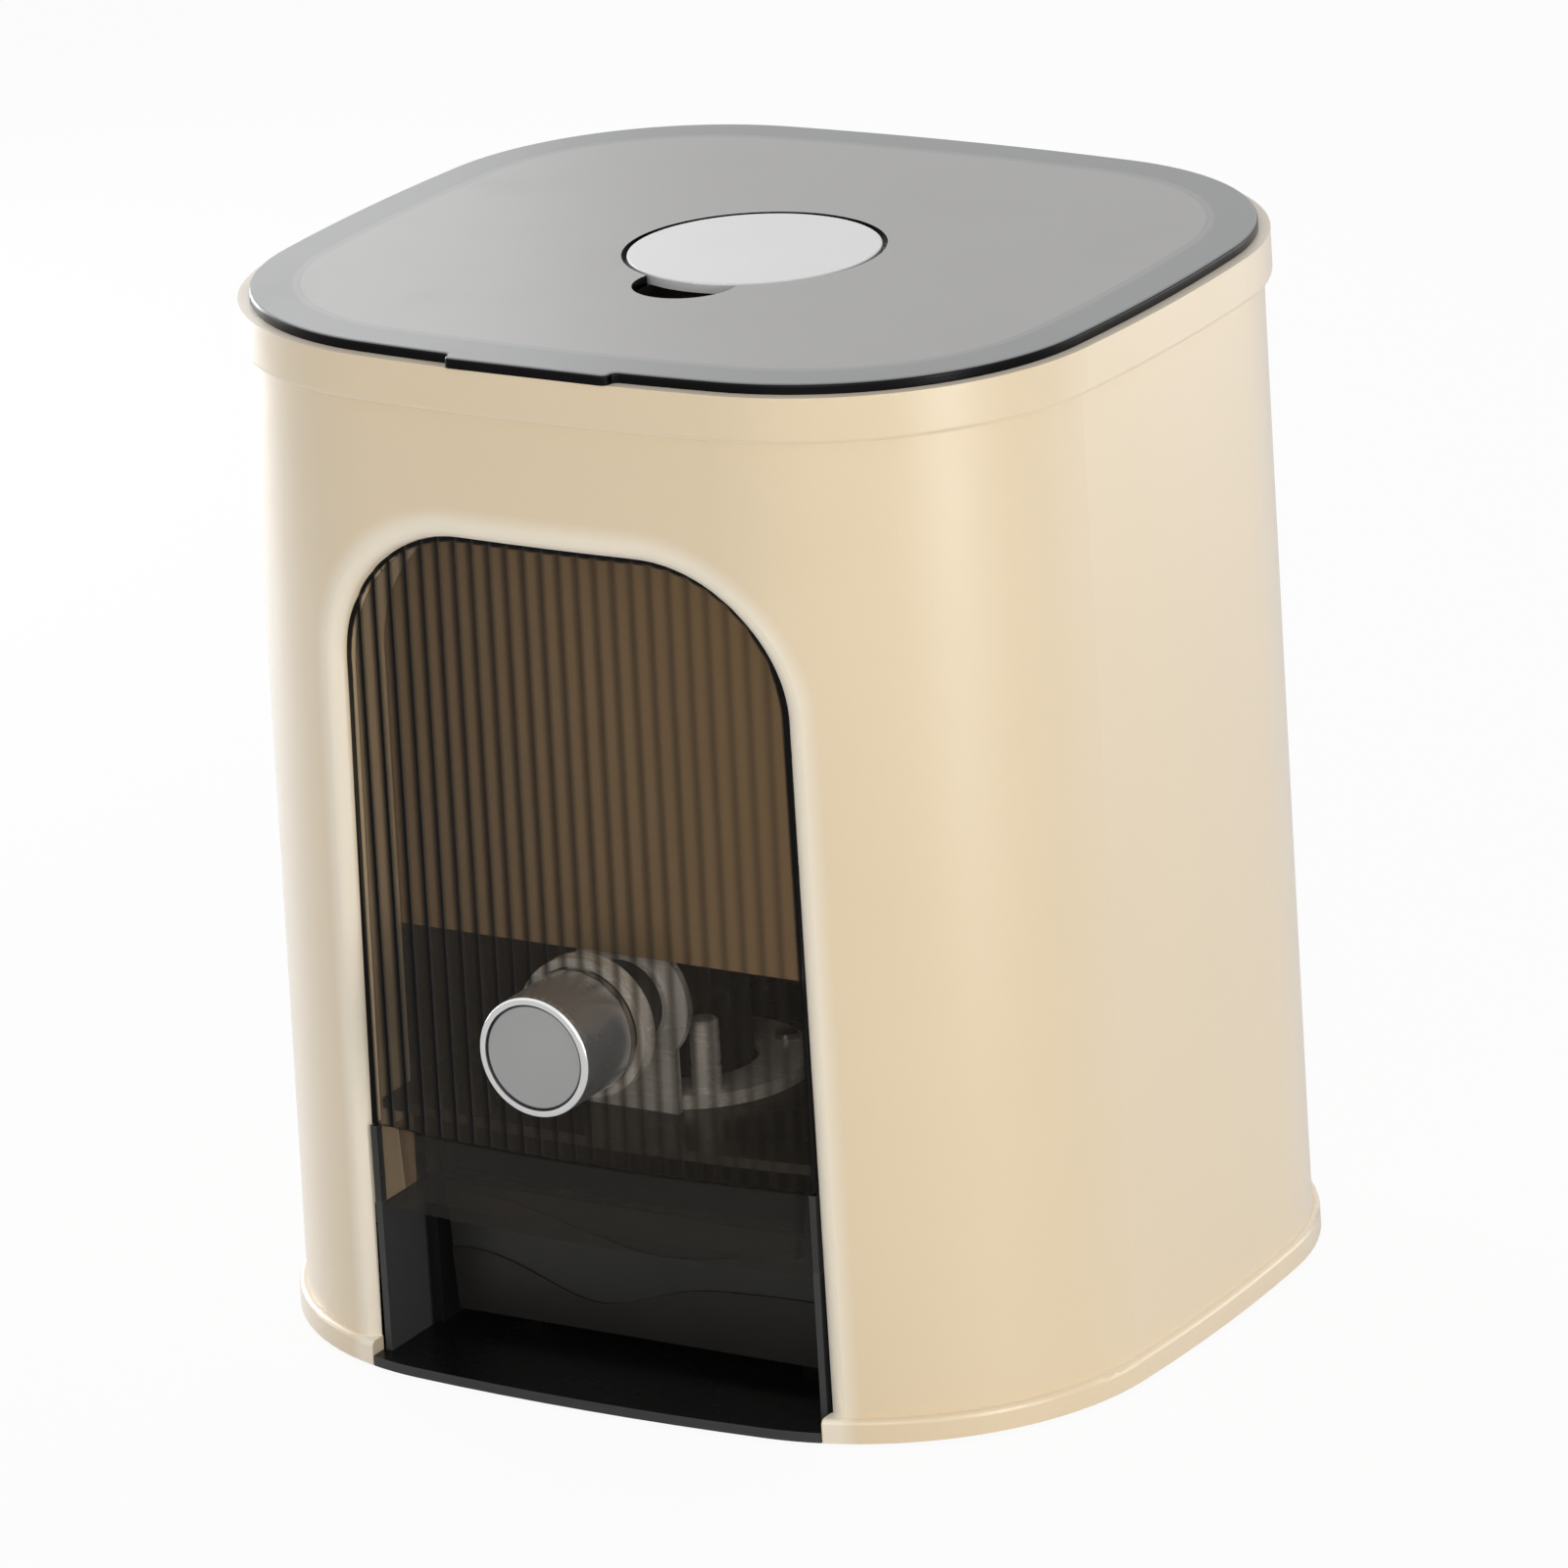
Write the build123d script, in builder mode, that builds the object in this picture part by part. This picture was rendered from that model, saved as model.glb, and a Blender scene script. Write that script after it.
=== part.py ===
"""Rice dispenser with a push-button spool valve, a smoked drawer and a lift-off lid.

Millimetres, +Z up, front towards -Y. The origin is on the floor at the axis of the body.
"""
import os
from math import cos, pi, radians, sin, sqrt, tan

from build123d import *

# Body: a bulged rounded square that narrows upwards by the draft of its mould
total_height = 305.5
body_width = 268.0
body_depth = 249.0
front_bulge = 11.0
side_bulge = 10.0
corner_radius = 82.0
draft = 0.64
shell_wall = 3.4
hem_height = 7.0
hem_proud = 2.2
hem_round = 1.7
rim_height = 13.0
rim_proud = 2.4
rim_thickness = 2.5
rim_round = 1.4
piece_gap = 0.3

# Window: an arch that is open down to the floor, with a seat for the panel
window_margin = 60.2
window_lean = 2.9
window_crown = 53.3
arch_radius = 43.5
window_ledge = 1.6
window_flange = 3.2
window_flange_depth = 28.5
lip_round = 4.0

# Front panel: smoked and reeded, bowed a little more than the wall
panel_recess = 4.0
panel_thickness = 3.0
panel_bow_share = 0.84
panel_foot = 73.0
rib_pitch = 5.7
rib_count = 27
rib_rise = 0.7

# Drawer and its alcove
drawer_floor = 9.5
drawer_top = 72.4
drawer_wall = 2.5
drawer_setback = 35.0
drawer_rear_room = 65.0
drawer_foot_margin = 10.6
drawer_top_margin = 6.1
grip_margin = 3.6
grip_foot = 48.8
grip_thickness = 3.0
wave_relief = 0.7
wave_high = [(-0.45, 41.2), (0.13, 35.2), (0.48, 38.8)]
wave_low = [(-0.66, 25.6), (-0.24, 18.2), (0.16, 25.2), (0.5, 28.2)]
wave_high_ends = (45.5, 46.0)
wave_low_ends = (28.0, 28.8)

# Base: floor, alcove cheeks and drawer tunnel
foot_proud = 1.5
foot_thickness = 2.3
foot_radius = 11.0
foot_chamfer = 0.5
foot_side_margin = 42.0
foot_end_margin = 52.5
floor_thickness = 3.0
cheek_margin = 3.2
cheek_setback = 8.5
tunnel_margin = 5.3
tunnel_wall = 2.2
tunnel_lead = 2.0
tunnel_spare = 6.0
rail_margin = 27.6
rail_width = 6.0
rail_setback = 10.0
boss_radius = 5.0
boss_height = 18.0
boss_set_in = 3.5
column_radius = 4.0
column_setback = 55.0
column_gap = 8.0

# Mechanism bay
deck_top = 80.0
deck_thickness = 3.0
deck_margin = 3.4
deck_edge = 6.5
bay_margin = 3.0
bay_wall = 2.4
bay_length = 108.0
bay_step = 10.0
bay_wall_top = 124.0

# Hopper
hopper_wall = 2.0
hopper_set_in = 11.25
hopper_setback = 29.0
hopper_shoulder_drop = 42.0
apron_foot = 127.0
apron_margin = 3.4
apron_height = 45.0
side_slope = 30.0
back_slope = 22.0
front_slope = 45.0
outlet_width = 20.0
outlet_depth = 16.0
outlet_margin = 5.0

# Valve
valve_axis = 112.0
port_setback = 32.0
bore_radius = 12.5
barrel_wall = 2.0
barrel_setback = 35.0
barrel_length = 80.0
inlet_rise = 7.5
seal_thickness = 2.0
chute_wall = 3.0
chute_foot = 75.5
valve_foot_radius = 24.0
valve_foot_height = 2.0
flange_radius = 33.5
flange_height = 4.0
flange_hole = 18.5
gland_radius = 20.0
gland_thickness = 2.5
gland_collar_radius = 14.0
gland_collar = 1.2
gland_foot_half = 15.0
post_radius = 4.3
post_height = 20.9
post_groove = 7.0
post_groove_width = 1.2
post_groove_depth = 0.6
post_chamfer = 0.8
post_x = 17.3
post_y = 22.0
ear_x = 17.0
ear_radius = 4.0
ear_length = 12.0
cap_thickness = 4.0
cap_spigot = 3.0

# Button, spool and spring
button_radius = 17.5
button_reach = 17.0
button_tail = 4.5
button_wall = 2.0
button_round = 0.8
button_gap = 0.4
button_travel = 20.0
face_recess = 2.0
face_thickness = 1.4
button_web = 3.2
spool_gap = 0.25
spring_room = 34.0
spring_seat_depth = 6.0
spring_seat_radius = 10.2
spring_slack = 0.05
spring_radius = 9.0
spring_wire = 1.4
spring_turns = 5
wire_sides = 6
coil_checks = 480
bush_wall = 2.5
bush_length = 5.6

# Lid, its seal and the desiccant pocket
lid_thickness = 3.0
lid_margin = 3.4
lid_round = 0.9
plug_set_in = 14.75
plug_wall = 2.0
plug_depth = 9.0
seal_height = 6.0
seal_lift = 1.0
tab_half = 26.0
tab_reach = 3.5
tab_round = 1.9
disc_radius = 36.0
disc_gap = 1.5
disc_round = 0.5
disc_skirt = 5.0
notch_radius = 15.0
notch_y = 38.0
notch_depth = 11.0
cup_radius = 33.5
cup_flange = 4.0
cup_wall = 2.0
cup_depth = 26.0

# Screws
screw_radius = 1.5
screw_head_radius = 3.2
screw_head = 1.7
screw_gap = 0.1
boss_screw_length = 15.0
deck_screw_length = 9.0
cap_screw_length = 9.0
button_screw_radius = 1.9
button_screw_head_radius = 3.6
button_screw_length = 14.0

# Levels that follow from the sizes above
floor_top = foot_proud + floor_thickness
lid_seat = total_height - lid_thickness
shell_top = lid_seat - rim_thickness
rim_foot = lid_seat - rim_height
plug_foot = lid_seat - plug_depth
window_top = total_height - window_crown
hopper_shoulder = total_height - hopper_shoulder_drop
deck_foot = deck_top - deck_thickness
flange_top = deck_top + flange_height
barrel_radius = bore_radius + barrel_wall
spool_radius = bore_radius - spool_gap
inlet_top = valve_axis + barrel_radius + inlet_rise
outlet_level = inlet_top + seal_thickness
mouth_set_in = hopper_set_in + hopper_wall
rail_top = drawer_floor - piece_gap
cheek_top = grip_foot - piece_gap
post_top = panel_foot - piece_gap
draw_in = tan(radians(draft))
lean = (0, sin(radians(draft)), cos(radians(draft)))

# Places across the body, from its middle
plan_x = body_width / 2 - side_bulge
plan_y = body_depth / 2 - front_bulge
window_half_foot = body_width / 2 - window_margin
window_half_top = window_half_foot - window_lean
drawer_half_foot = window_half_foot - drawer_foot_margin
drawer_half_top = window_half_foot - drawer_top_margin
grip_half = window_half_foot - grip_margin
cheek_half = window_half_foot - cheek_margin
tunnel_half = window_half_foot - tunnel_margin
rail_half = window_half_foot - rail_margin
deck_half = window_half_foot - deck_margin
bay_half = window_half_foot - bay_margin
apron_half = window_half_foot + apron_margin
column_x = bay_half + bay_wall + screw_head_radius + piece_gap
deck_wide = column_x + deck_edge
foot_x = body_width / 2 - foot_side_margin

# Distances in front of the body's axis, from its front wall
front_wall = body_depth / 2
panel_front = front_wall - panel_recess
panel_rear = panel_front - panel_thickness
panel_bow_radius = panel_bow_share * (plan_x ** 2 + front_bulge ** 2) / (2 * front_bulge)
window_flange_back = front_wall - window_flange_depth
hopper_front = front_wall - hopper_setback
drawer_front = front_wall - drawer_setback
drawer_back = front_wall - drawer_rear_room
drawer_length = drawer_front + drawer_back
drawer_middle = (drawer_back - drawer_front) / 2
cheek_front = front_wall - cheek_setback
tunnel_front = drawer_front + tunnel_lead
tunnel_back = drawer_back + tunnel_spare
bay_front = hopper_front
bay_back = bay_length - bay_front
barrel_front = front_wall - barrel_setback
barrel_back = barrel_front - barrel_length
spool_back = barrel_back + spring_room
valve_y = port_setback - barrel_front
button_front = front_wall + button_reach
button_rear = panel_front - button_tail
rod_front = button_front - face_recess - button_web
foot_y = front_wall - foot_end_margin
column_front = column_setback - front_wall
column_back = tunnel_back - column_gap


def plan(level, inset):
    """The body's plan at a level, set in from the outer wall: each arc keeps its centre and loses radius."""
    depth = inset + level * draw_in
    with BuildSketch() as shape:
        with BuildLine():
            for arc in body_plan.edges():
                share = 1 - depth / arc.radius
                ThreePointArc(*(arc.arc_center + (arc @ t - arc.arc_center) * share for t in (0, 0.5, 1)))
        make_face()
    return shape.sketch


def front_plane(y):
    """A plane that faces the front, with X to the right and Z up."""
    return Plane(origin=(0, y, 0), x_dir=(1, 0, 0), z_dir=(0, -1, 0))


def window_half(level):
    """Half the window's width at a level."""
    return window_half_foot + (window_half_top - window_half_foot) * level / window_top


def arch(foot, inset):
    """The window's arch above a foot level, set in from its edge."""
    low = window_half(foot) - inset
    high = window_half_top - inset
    crown = window_top - inset
    with BuildSketch() as shape:
        with BuildLine():
            Polyline((-low, foot), (low, foot), (high, crown), (-high, crown), close=True)
        make_face()
        fillet(shape.vertices().group_by(Axis.Y)[-1], arch_radius - inset)
    return shape.sketch


def bow(x):
    """How far the panel's curve falls back at a distance from the middle."""
    return panel_bow_radius - sqrt(panel_bow_radius ** 2 - x ** 2)


def bowed_slab(front, back):
    """The plan of a bowed slab between two distances in front of the axis."""
    edge = window_half_foot + window_flange
    fall = bow(edge)
    with BuildSketch() as shape:
        with BuildLine():
            ThreePointArc((-edge, fall - front), (0, -front), (edge, fall - front))
            Line((edge, fall - front), (edge, fall - back))
            ThreePointArc((edge, fall - back), (0, -back), (-edge, fall - back))
            Line((-edge, fall - back), (-edge, fall - front))
        make_face()
    return shape.sketch


def screw_set(places, length):
    """Pan-head screws whose heads' undersides lie on the given planes."""
    with BuildPart() as group:
        for place in places:
            with BuildSketch(place):
                Circle(screw_head_radius)
            extrude(amount=screw_head)
            with BuildSketch(place):
                Circle(screw_radius)
            extrude(amount=-length)
    return group.part


def on_window_lip(edge):
    """Whether an edge lies on the wall's outer face at the window, clear of the panel's seat."""
    middle = edge @ 0.5
    between = abs(middle.X) < window_half_foot + piece_gap
    upright = floor_top < middle.Z < window_top + piece_gap
    panel_face = panel_front - bow(middle.X) - middle.Z * draw_in
    return between and upright and -middle.Y > panel_face + panel_recess / 2


def window_clear(distance, level):
    """The block in front of the hopper's flat front, up to a sloping shoulder."""
    far = distance + body_depth
    with BuildPart() as block:
        with BuildSketch(Plane.YZ):
            with BuildLine():
                near_top, far_top = (-distance, level), (-far, level + body_depth)
                Polyline((-distance, 0), near_top, far_top, (-far, 0), close=True)
            make_face()
        extrude(amount=body_width, both=True)
    return block.part


def funnel(margin):
    """The four-sided space that opens upwards from the outlet, with a margin round it."""
    climb = lid_seat - outlet_level
    wide, deep = outlet_width + 2 * margin, outlet_depth + 2 * margin
    aside = climb / tan(radians(side_slope))
    ahead = climb / tan(radians(front_slope))
    behind = climb / tan(radians(back_slope))
    with BuildPart() as block:
        with BuildSketch(Plane.XY.offset(outlet_level)):
            with Locations((0, valve_y)):
                Rectangle(wide, deep)
        with BuildSketch(Plane.XY.offset(lid_seat)):
            with Locations((0, valve_y + (behind - ahead) / 2)):
                Rectangle(wide + 2 * aside, deep + ahead + behind)
        loft(ruled=True)
    return block.part


def drawer_half(level):
    """Half the drawer's outside width at a level."""
    flare = (drawer_half_top - drawer_half_foot) / (drawer_top - drawer_floor)
    return drawer_half_foot + flare * (level - drawer_floor)


def drawer_block(front, inset, foot):
    """The upper front of the drawer behind a bowed face, set in from its sides, above a foot level."""
    low, high = drawer_half(foot) - inset, drawer_half(drawer_top) - inset
    with BuildPart() as block:
        with BuildSketch(Plane.XY):
            add(bowed_slab(front, drawer_front - 2 * drawer_wall))
        extrude(amount=total_height, dir=lean)
        with BuildSketch(front_plane(0)):
            with BuildLine():
                Polyline((-low, foot), (low, foot), (high, drawer_top), (-high, drawer_top), close=True)
            make_face()
        extrude(amount=body_depth, mode=Mode.INTERSECT)
    return block.part


def coil_point(quarter):
    """The wire's centre after so many quarter turns of the spring."""
    turn = quarter * pi / 2
    along = rise * turn - coil_start
    return Vector(spring_radius * cos(turn), along, valve_axis + spring_radius * sin(turn))


def coil_way(quarter):
    """The wire's direction after so many quarter turns of the spring."""
    turn = quarter * pi / 2
    return Vector(-spring_radius * sin(turn), rise, spring_radius * cos(turn)).normalized()


os.makedirs("parts", exist_ok=True)

# The rounded-square plan of the outer wall at the floor
with BuildSketch() as body_plan:
    with BuildLine():
        ThreePointArc((-plan_x, -plan_y), (0, -body_depth / 2), (plan_x, -plan_y))
        ThreePointArc((plan_x, -plan_y), (body_width / 2, 0), (plan_x, plan_y))
        ThreePointArc((plan_x, plan_y), (0, body_depth / 2), (-plan_x, plan_y))
        ThreePointArc((-plan_x, plan_y), (-body_width / 2, 0), (-plan_x, -plan_y))
    make_face()
    fillet(body_plan.vertices(), corner_radius)

# Where the four corner screws go: inside the corner arcs, up against the wall
corner_arcs = body_plan.edges().sort_by(lambda arc: arc.radius)[:4]
boss_reach = corner_radius - shell_wall - boss_set_in
boss_ways = [(arc @ 0.5 - arc.arc_center).normalized() for arc in corner_arcs]
boss_points = [arc.arc_center + way * boss_reach for arc, way in zip(corner_arcs, boss_ways)]

# Where the small fixings go, left and right
foot_points = [(x, y) for x in (-foot_x, foot_x) for y in (-foot_y, foot_y)]
column_points = [(x, y) for x in (-column_x, column_x) for y in (column_front, column_back)]
post_points = [(x, valve_y - post_y) for x in (-post_x, post_x)]
valve_screw_points = [(x, valve_y + post_y) for x in (-post_x, post_x)]
ear_points = [(x, valve_axis) for x in (-ear_x, ear_x)]
outward = {-1: Align.MAX, 1: Align.MIN}

# Window flange: the arched tunnel behind the opening, which seats the panel
with BuildPart() as window_tunnel:
    with BuildSketch(front_plane(-window_flange_back)):
        add(arch(grip_foot, window_ledge - window_flange))
    extrude(amount=body_depth / 2 - window_flange_back)
    with BuildSketch(Plane.XY):
        add(plan(0, shell_wall / 2))
    extrude(amount=shell_top, taper=draft, mode=Mode.INTERSECT)

# Everything in front of the panel's back face, inside the window's edge
with BuildPart() as window_pocket:
    with BuildSketch(Plane.XY):
        add(bowed_slab(body_depth, panel_front - panel_thickness))
    extrude(amount=total_height, dir=lean)
    with BuildSketch(front_plane(0)):
        add(arch(0, 0))
    extrude(amount=body_depth, mode=Mode.INTERSECT)

# Hem bead: the thicker foot of the outer wall, open at the window
with BuildPart() as hem_bead:
    with BuildSketch(Plane.XY.offset(foot_proud)):
        add(plan(foot_proud, -hem_proud))
    extrude(amount=hem_height, taper=draft)
    fillet(hem_bead.edges().group_by(Axis.Z)[-1], hem_round)
    with BuildSketch(Plane.XY.offset(foot_proud)):
        add(plan(foot_proud, shell_wall))
    extrude(amount=hem_height, taper=draft, mode=Mode.SUBTRACT)
    with BuildSketch(front_plane(0)):
        add(arch(0, 0))
    extrude(amount=body_depth, mode=Mode.SUBTRACT)

# Outer shell: tapered wall with a rounded window lip, hem bead, window tunnel and four screw bosses
with BuildPart() as outer_shell:
    with BuildSketch(Plane.XY.offset(foot_proud)):
        add(plan(foot_proud, 0))
    extrude(amount=shell_top - foot_proud, taper=draft)
    with BuildSketch(Plane.XY.offset(foot_proud)):
        add(plan(foot_proud, shell_wall))
    extrude(amount=shell_top - foot_proud, taper=draft, mode=Mode.SUBTRACT)
    add(window_tunnel.part)
    with BuildSketch(front_plane(-window_flange_back)):
        add(arch(0, window_ledge))
    extrude(amount=body_depth / 2, mode=Mode.SUBTRACT)
    add(window_pocket.part, mode=Mode.SUBTRACT)
    fillet(outer_shell.edges().filter_by(on_window_lip), lip_round)
    add(hem_bead.part)
    with BuildSketch(Plane.XY.offset(floor_top)):
        with Locations(boss_points):
            Circle(boss_radius)
    extrude(amount=boss_height)
    with BuildSketch(Plane.XY.offset(floor_top)):
        with Locations(boss_points):
            Circle(screw_radius + screw_gap)
    extrude(amount=boss_screw_length, mode=Mode.SUBTRACT)
outer_shell.part.label = "outer_shell"
export_step(outer_shell.part, "parts/outer_shell.step")

# Rice space: the inside of the hopper, from the lid down to the outlet
with BuildPart() as rice_space:
    with BuildSketch(Plane.XY.offset(outlet_level)):
        add(plan(outlet_level, mouth_set_in))
    extrude(amount=lid_seat - outlet_level, taper=draft)
    add(window_clear(hopper_front - hopper_wall, hopper_shoulder + hopper_wall), mode=Mode.SUBTRACT)
    add(funnel(0), mode=Mode.INTERSECT)

# Outside of the bin that hangs in the shell
with BuildPart() as hopper_tub:
    with BuildSketch(Plane.XY.offset(outlet_level)):
        add(plan(outlet_level, hopper_set_in))
    extrude(amount=lid_seat - outlet_level, taper=draft)
    add(window_clear(hopper_front, hopper_shoulder), mode=Mode.SUBTRACT)
    add(funnel(outlet_margin), mode=Mode.INTERSECT)

# Hopper: turned-down collar over the shell's top, bin, funnel and the apron behind the panel
with BuildPart() as hopper:
    with BuildSketch(Plane.XY.offset(rim_foot)):
        add(plan(rim_foot, -rim_proud))
    extrude(amount=rim_height, taper=draft)
    fillet(hopper.edges().group_by(Axis.Z)[0], rim_round)
    with BuildSketch(Plane.XY.offset(rim_foot)):
        add(plan(rim_foot, -piece_gap))
    extrude(amount=shell_top - rim_foot, taper=draft, mode=Mode.SUBTRACT)
    add(hopper_tub.part)
    with BuildSketch(Plane.XY.offset(apron_foot)):
        with Locations((0, -hopper_front)):
            Rectangle(2 * apron_half, hopper_wall, align=(Align.CENTER, Align.MIN))
    extrude(amount=apron_height)
    add(rice_space.part, mode=Mode.SUBTRACT)
hopper.part.label = "hopper"
export_step(hopper.part, "parts/hopper.step")

# Lid: plate with a front tab, a keyhole for the disc and a finger, and a plug wall below
with BuildPart() as lid:
    lid_set_in = lid_margin - rim_proud
    lid_front = body_depth / 2 - lid_set_in - lid_seat * draw_in
    with BuildSketch(Plane.XY.offset(lid_seat)) as lid_plate:
        add(plan(lid_seat, lid_set_in))
        with Locations((0, -lid_front - tab_reach)):
            Rectangle(2 * tab_half, 4 * tab_reach, align=(Align.CENTER, Align.MIN))
        fillet(lid_plate.vertices().filter_by(lambda v: abs(abs(v.X) - tab_half) < piece_gap), tab_round)
        Circle(disc_radius + disc_gap, mode=Mode.SUBTRACT)
        with Locations((0, -notch_y)):
            Circle(notch_radius, mode=Mode.SUBTRACT)
    extrude(amount=lid_thickness)
    fillet(lid.faces().sort_by(Axis.Z)[-1].outer_wire().edges(), lid_round)
    with BuildSketch(Plane.XY.offset(plug_foot)):
        add(plan(plug_foot, plug_set_in))
        add(plan(plug_foot, plug_set_in + plug_wall), mode=Mode.SUBTRACT)
    extrude(amount=plug_depth)
lid.part.label = "lid"
export_step(lid.part, "parts/lid.step")

# Lid seal: ring round the plug wall, clear of the hopper's mouth by the piece gap
with BuildPart() as lid_seal:
    seal_foot = plug_foot + seal_lift
    with BuildSketch(Plane.XY.offset(seal_foot)):
        add(plan(seal_foot + seal_height, mouth_set_in + piece_gap))
        add(plan(plug_foot, plug_set_in), mode=Mode.SUBTRACT)
    extrude(amount=seal_height)
lid_seal.part.label = "lid_seal"
export_step(lid_seal.part, "parts/lid_seal.step")

# Desiccant cup: hangs under the keyhole, with a finger pocket beside it
with BuildPart() as desiccant_cup:
    with BuildSketch(Plane.XY.offset(lid_seat)):
        Circle(disc_radius + disc_gap + cup_flange)
    extrude(amount=-cup_wall)
    with BuildSketch(Plane.XY.offset(lid_seat)):
        Circle(cup_radius)
    extrude(amount=-cup_depth)
    with BuildSketch(Plane.XY.offset(lid_seat)):
        with Locations((0, -notch_y)):
            Circle(notch_radius + cup_wall)
    extrude(amount=-notch_depth - cup_wall)
    with BuildSketch(Plane.XY.offset(lid_seat)):
        with Locations((0, -notch_y)):
            Circle(notch_radius)
        Circle(cup_radius, mode=Mode.SUBTRACT)
    extrude(amount=-notch_depth, mode=Mode.SUBTRACT)
    with BuildSketch(Plane.XY.offset(lid_seat)):
        Circle(cup_radius - cup_wall)
    extrude(amount=cup_wall - cup_depth, mode=Mode.SUBTRACT)
desiccant_cup.part.label = "desiccant_cup"
export_step(desiccant_cup.part, "parts/desiccant_cup.step")

# Desiccant cap: flush disc with a skirt that drops into the cup
with BuildPart() as desiccant_cap:
    with BuildSketch(Plane.XY.offset(lid_seat)):
        Circle(disc_radius)
    extrude(amount=lid_thickness)
    fillet(desiccant_cap.edges().group_by(Axis.Z)[-1], disc_round)
    skirt_radius = cup_radius - cup_wall - piece_gap
    with BuildSketch(Plane.XY.offset(lid_seat)):
        Circle(skirt_radius)
        Circle(skirt_radius - cup_wall, mode=Mode.SUBTRACT)
    extrude(amount=-disc_skirt)
desiccant_cap.part.label = "desiccant_cap"
export_step(desiccant_cap.part, "parts/desiccant_cap.step")

# Front panel: reeded and bowed, trimmed to the arch, with the button's hole
with BuildPart() as front_panel:
    rib_half = rib_count * rib_pitch / 2
    groove = panel_front - rib_rise
    with BuildSketch(Plane.XY):
        with BuildLine():
            for rib in range(rib_count):
                left = rib * rib_pitch - rib_half
                middle = left + rib_pitch / 2
                right = left + rib_pitch
                crest = (middle, bow(middle) - panel_front)
                ThreePointArc((left, bow(left) - groove), crest, (right, bow(right) - groove))
            fall = bow(rib_half)
            Line((rib_half, fall - groove), (rib_half, fall - panel_rear))
            ThreePointArc((rib_half, fall - panel_rear), (0, -panel_rear), (-rib_half, fall - panel_rear))
            Line((-rib_half, fall - panel_rear), (-rib_half, fall - groove))
        make_face()
    extrude(amount=total_height, dir=lean)
    with BuildSketch(front_plane(0)):
        add(arch(panel_foot, piece_gap))
    extrude(amount=body_depth, mode=Mode.INTERSECT)
    with BuildSketch(front_plane(0)):
        with Locations((0, valve_axis)):
            Circle(button_radius + button_gap)
    extrude(amount=body_depth, mode=Mode.SUBTRACT)
front_panel.part.label = "front_panel"
export_step(front_panel.part, "parts/front_panel.step")

# Button bush: guide ring fixed to the back of the panel
with BuildPart() as button_bush:
    bush_radius = button_radius + button_gap + bush_wall
    bush_front = panel_rear - (valve_axis + bush_radius) * draw_in - bow(bush_radius)
    with BuildSketch(front_plane(-bush_front)):
        with Locations((0, valve_axis)):
            Circle(bush_radius)
            Circle(button_radius + button_gap, mode=Mode.SUBTRACT)
    extrude(amount=-bush_length)
button_bush.part.label = "button_bush"
export_step(button_bush.part, "parts/button_bush.step")

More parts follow.
